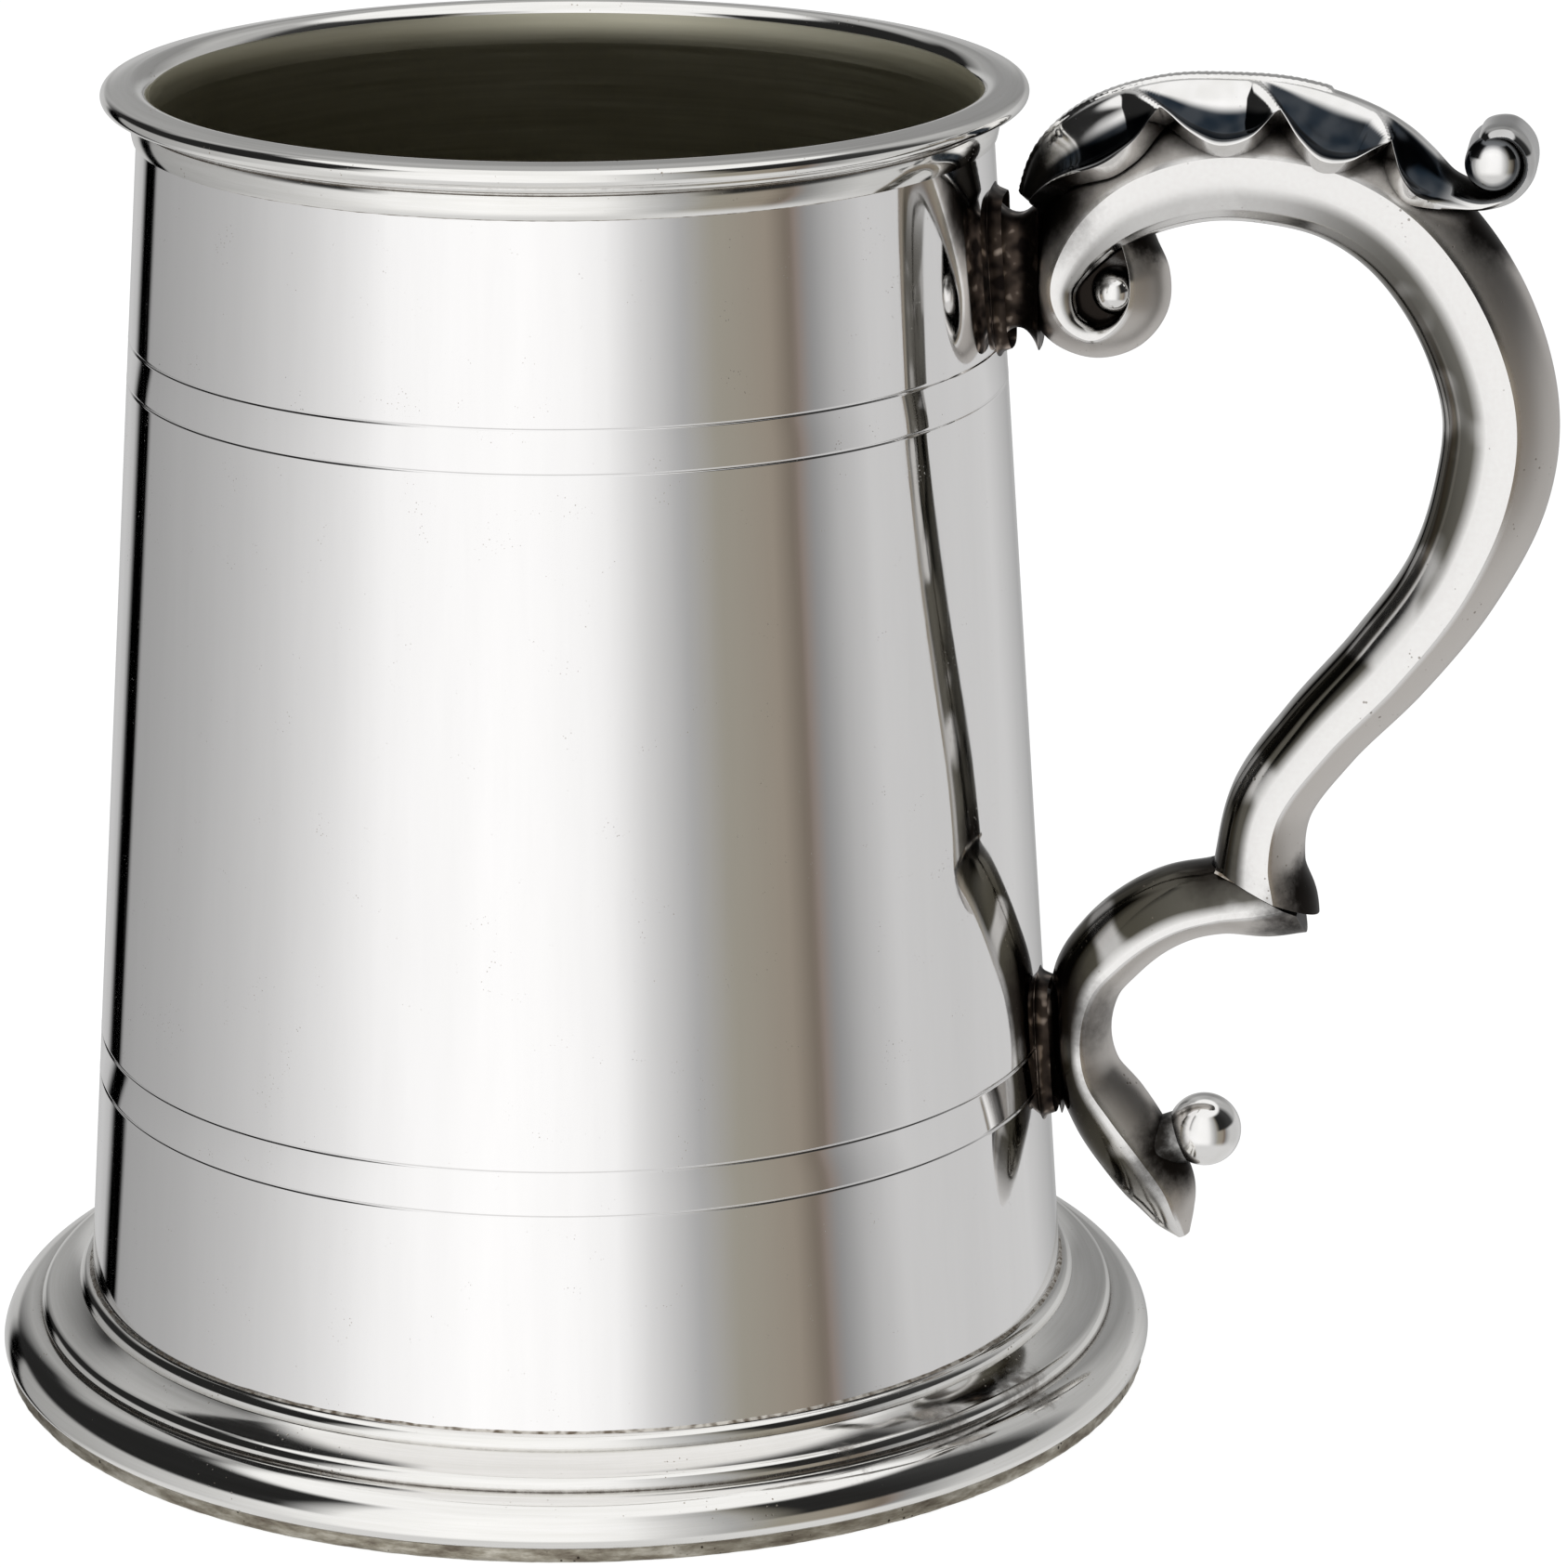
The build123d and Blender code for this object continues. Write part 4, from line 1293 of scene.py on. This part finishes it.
# where each petal leaves the midrib, its length, and the share of its hollow that is rubbed bright
PETALS = [(-2.0, 18.9, 0.42), (13.8, 13.6, 0.4), (24.5, 12.6, 0.2), (35.1, 11.5, 0.02)]
RIM_HEIGHT = 2.25
RIM_RISE = 0.35
RIDGE = 0.07
HOLLOW = 1.9
MIDRIB_HALF = 0.08
MIDRIB_HEIGHT = 2.5
MIDRIB_END = 31.0
CURL_START = 42.0
CURL_THICKNESS = 1.5
CURL_FADE = 2.2


PETAL_RIM = [(0, 0.05), (0.1, 0.27), (0.26, 0.62), (0.42, 0.87), (0.62, 1.0), (0.82, 0.92), (1, 0.54)]


def petal_rim(share):
    """Distance of a petal's rim from the midrib, as a share of the half width, along the petal."""
    knots = through(PETAL_RIM, 8)
    return np.interp(np.clip(share, 0, 1), knots[:, 0], knots[:, 1])


print("leaf line points:", len(LEAF_LINE))


# %% Height of the petals
def leaf_height(along, across):
    """Height above the handle, and patina with painted dark reflection, at a distance along the leaf and a
    share of the half width.
    """
    rim_height = RIM_HEIGHT + RIM_RISE * across**2
    height, patina_and_shade = rim_height.copy(), np.zeros(np.shape(across))
    for index, (start, length, rubbed) in enumerate(PETALS):
        share = (along - start) / length
        last = index + 1 == len(PETALS)
        rim = petal_rim(np.clip(share, 0, 0.72) if last else share)
        top = np.full(np.shape(along), MIDRIB_HALF)
        if not last:
            next_start, next_length, _ = PETALS[index + 1]
            next_share = (along - next_start) / next_length
            top = np.where(next_share > 0, petal_rim(next_share) + RIDGE, MIDRIB_HALF)
        width = np.maximum(rim - top, 1e-3)
        place = (across - top) / width
        inside = (place > 0) & (place < 1) & (share > 0) & (last | (share < 1))
        dish = smooth_step(place, 0.0, 0.75) * (1 - smooth_step(place, 0.74, 1.0))
        height = np.where(inside, rim_height - HOLLOW * width**1.3 * dish, height)
        # beyond its bright share the hollow is painted dark: patina and painted dark reflection
        shaded = smooth_step(place, rubbed, rubbed + 0.14) * (1 - smooth_step(place, 0.93, 0.99))
        patina_and_shade = np.where(inside, shaded * smooth_step(width, 0.1, 0.3), patina_and_shade)
    beading = 0.035 * np.cos(along * math.tau / 0.6)
    midrib = (MIDRIB_HEIGHT + beading) * (1 - smooth_step(across, MIDRIB_HALF, MIDRIB_HALF + 0.08))
    midrib *= 1 - smooth_step(along, MIDRIB_END, MIDRIB_END + 0.5)
    height = np.maximum(height, midrib)
    curl = smooth_step(along, CURL_START - 4, CURL_START + 3)
    strip = CURL_THICKNESS * (1 - 0.5 * across**6)
    patina_and_shade = patina_and_shade * (1 - smooth_step(along, CURL_START + 1, CURL_START + 5))
    return height * (1 - curl) + strip * curl, patina_and_shade


def leaf_edge(along):
    """Half width of the leaf's outline as a share, with notches between the petals."""
    reach = np.zeros(np.shape(along))
    for start, length, _ in PETALS:
        share = (along - start) / length
        reach = np.maximum(reach, np.where((share >= 0) & (share <= 1), petal_rim(share), 0.0))
    reach = np.minimum(reach, 1.0)
    return np.maximum(reach, smooth_step(along, CURL_START - 2, CURL_START + 1))


# %% Lay the leaf on the arch
LEAF_STEPS = 26
LEAF_COLUMNS = 150


def leaf_mesh():
    """Grid of the leaf: an upper skin with petals, and an underside sunk a little into the handle."""
    rows = through(LEAF_LINE, LEAF_STEPS)
    steps = np.linalg.norm(np.diff(rows[:, :2], axis=0), axis=1)
    along = np.concatenate([[0.0], np.cumsum(steps)])
    tangents = unit_tangents(rows)
    share = np.linspace(-1, 1, LEAF_COLUMNS)
    points, faces, patina_and_shade = [], [], []
    for row, distance, (tx, tz) in zip(rows, along, tangents):
        x, z, half_width, drop, under = row
        across = share * leaf_edge(np.array([distance]))[0]
        height, dark = leaf_height(np.full(LEAF_COLUMNS, distance), np.abs(across))
        end = float(smooth_step(distance, 0.0, 2.0))
        curl = float(smooth_step(distance, CURL_START - 1, CURL_START + 4))
        fade = 1 - max(0.0, (distance - along[-1] + CURL_FADE) / CURL_FADE) ** 2 * 0.92
        slope = 1.9 * drop * np.abs(across) ** 0.9 / half_width
        length = np.sqrt(1 + slope * slope)
        level = -drop * np.abs(across) ** 1.9

        def skin(lift):
            side = across * half_width + np.sign(across) * lift * slope / length
            out = level + lift / length
            return [(x - tz * o, -s, z + tx * o) for s, o in zip(side, out)]

        rounded = 0.5 * CURL_THICKNESS * np.abs(across) ** 6
        top = height * end - under * (1 - end)
        bottom = curl * rounded - under
        middle = 0.5 * (top + bottom)
        points += skin(middle + (top - middle) * fade)
        points += skin(middle + (bottom - middle) * fade)
        # painted shade: the underside skin, inside the curl, is darkened
        patina_and_shade += list(dark) + [0.35 * curl] * LEAF_COLUMNS
    ring = 2 * LEAF_COLUMNS
    for r in range(len(rows) - 1):
        a, b = r * ring, (r + 1) * ring
        for i in range(LEAF_COLUMNS - 1):
            j = LEAF_COLUMNS + i
            faces.append((a + i, a + i + 1, b + i + 1, b + i))
            faces.append((a + j, b + j, b + j + 1, a + j + 1))
        for i in (0, LEAF_COLUMNS - 1):
            faces.append((a + i, b + i, b + LEAF_COLUMNS + i, a + LEAF_COLUMNS + i))
    for r in (0, len(rows) - 1):
        a = r * ring
        for i in range(LEAF_COLUMNS - 1):
            faces.append((a + i, a + LEAF_COLUMNS + i, a + LEAF_COLUMNS + i + 1, a + i + 1))
    return points, faces, patina_and_shade


points, faces, patina_and_shade = leaf_mesh()
make_piece(
    "acanthus_leaf", points, faces, BRIGHT_LEAF, replaced=["thumb_leaf"], slot="cast_pewter", sharp=55.0,
    patina_and_shade=patina_and_shade,
)

# %% Bead in the curl
CURL_EYE = (84.0, 117.6)
CURL_BEAD_RADIUS = 2.55
CURL_BEAD_HALF = 5.0
CURL_BEAD_CAP = 1.7


def curl_bead_outline():
    """A short roller with domed ends."""
    cap = [
        (CURL_BEAD_HALF - CURL_BEAD_CAP + CURL_BEAD_CAP * math.sin(t), CURL_BEAD_RADIUS * math.cos(t))
        for t in np.linspace(0, math.pi / 2, 14)
    ]
    return [(-distance, radius) for distance, radius in cap[::-1]] + cap


points, faces = turned_about((CURL_EYE[0], 0, CURL_EYE[1]), (0, 1, 0), curl_bead_outline())
from_axis = [math.hypot(x - CURL_EYE[0], z - CURL_EYE[1]) for x, _, z in points]
# painted shade: the bead darkens beyond 1.3 mm from its axis, so only the middle of its ends stays bright
patina_and_shade = [0.9 * float(smooth_step(radius, 1.3, 2.0)) for radius in from_axis]
make_piece(
    "curl_bead", points, faces, BRIGHT_LEAF, replaced=["leaf_bead"], slot="cast_pewter", patina_and_shade=patina_and_shade,
)

# %% [markdown]
# ## Lugs
#
# Two short lugs carry the handle. Each is a block with rounded edges that flares where it meets the drum
# and the scroll. Their inner ends follow the drum's curve, which a formula gives exactly.


# %% Cast the lugs
LUG_RINGS = 14
LUG_AROUND = 64


def lug_section(node, half_width, waist):
    """Section of a lug as (across, height, outward direction) points, narrowed by a waist of 0 to 1."""
    low, high = frame_mm(node)
    middle, half_height = (low.z + high.z) / 2, (high.z - low.z) / 2
    section = []
    for i in range(LUG_AROUND):
        turn = math.tau * i / LUG_AROUND
        across = math.copysign(abs(math.cos(turn)) ** 0.6, math.cos(turn)) * half_width * waist
        up = math.copysign(abs(math.sin(turn)) ** 0.4, math.sin(turn)) * half_height * (0.35 + 0.65 * waist)
        section.append((across, middle + up, Vector((math.cos(turn), math.sin(turn)))))
    return section


def lug(name, node, reach, half_width, neck):
    """A block between the drum and a scroll, waisted in the middle by the given share."""
    points = []
    for r in range(LUG_RINGS):
        share = r / (LUG_RINGS - 1)
        waist = 1 - neck * (1 - abs(2 * share - 1) ** 2.2)
        for across, z, _ in lug_section(node, half_width, waist):
            start = math.sqrt(drum_radius(z) ** 2 - across**2) - 0.25
            lump = 0.06 * noise.noise(Vector((share * 3, across * 0.6, z * 0.5)))
            points.append((start + (reach - start) * share, across + lump, z + lump))
    faces = end_faces(LUG_RINGS, LUG_AROUND) + ring_faces(LUG_RINGS, LUG_AROUND)
    make_piece(name, points, faces, DARK_LUG, replaced=[node], slot="dark_pewter", sharp=50.0)


UPPER_LUG_HALF = 3.7
LOWER_LUG_HALF = 3.2
lug("upper_lug_casting", "upper_lug", 43.6, UPPER_LUG_HALF, 0.42)
lug("lower_lug_casting", "lower_lug", 46.6, LOWER_LUG_HALF, 0.36)

# %% [markdown]
# The solder round each lug is a small concave collar. It hugs the lug, spreads on to the drum and thins
# out to nothing there.


# %% Collars of solder
COLLAR_STEPS = [
    (-0.1, 1.1), (0.05, 0.7), (0.2, 0.35), (0.4, 0.12), (0.65, 0.02), (0.65, -0.15), (-0.1, -0.15),
]


def lug_collar(name, lug_node, node, half_width):
    """A collar round a lug: each step is (distance from the lug's side, height above the drum)."""
    points = []
    for spread, above in COLLAR_STEPS:
        for across, z, way in lug_section(lug_node, half_width, 1.0):
            uneven = 1 + 0.06 * noise.noise(Vector((across * 0.6, z * 0.6, 5.0)))
            side = across + way.x * spread * uneven
            level = z + way.y * spread * uneven
            points.append((math.sqrt(drum_radius(level) ** 2 - side**2) + above * uneven, side, level))
    faces = ring_faces(len(COLLAR_STEPS), LUG_AROUND, closed=True)
    make_piece(name, points, faces, DARK_LUG, replaced=[node], slot="solder", sharp=60.0)


lug_collar("upper_lug_collar", "upper_lug", "upper_lug_solder", UPPER_LUG_HALF)
lug_collar("lower_lug_collar", "lower_lug", "lower_lug_solder", LOWER_LUG_HALF)
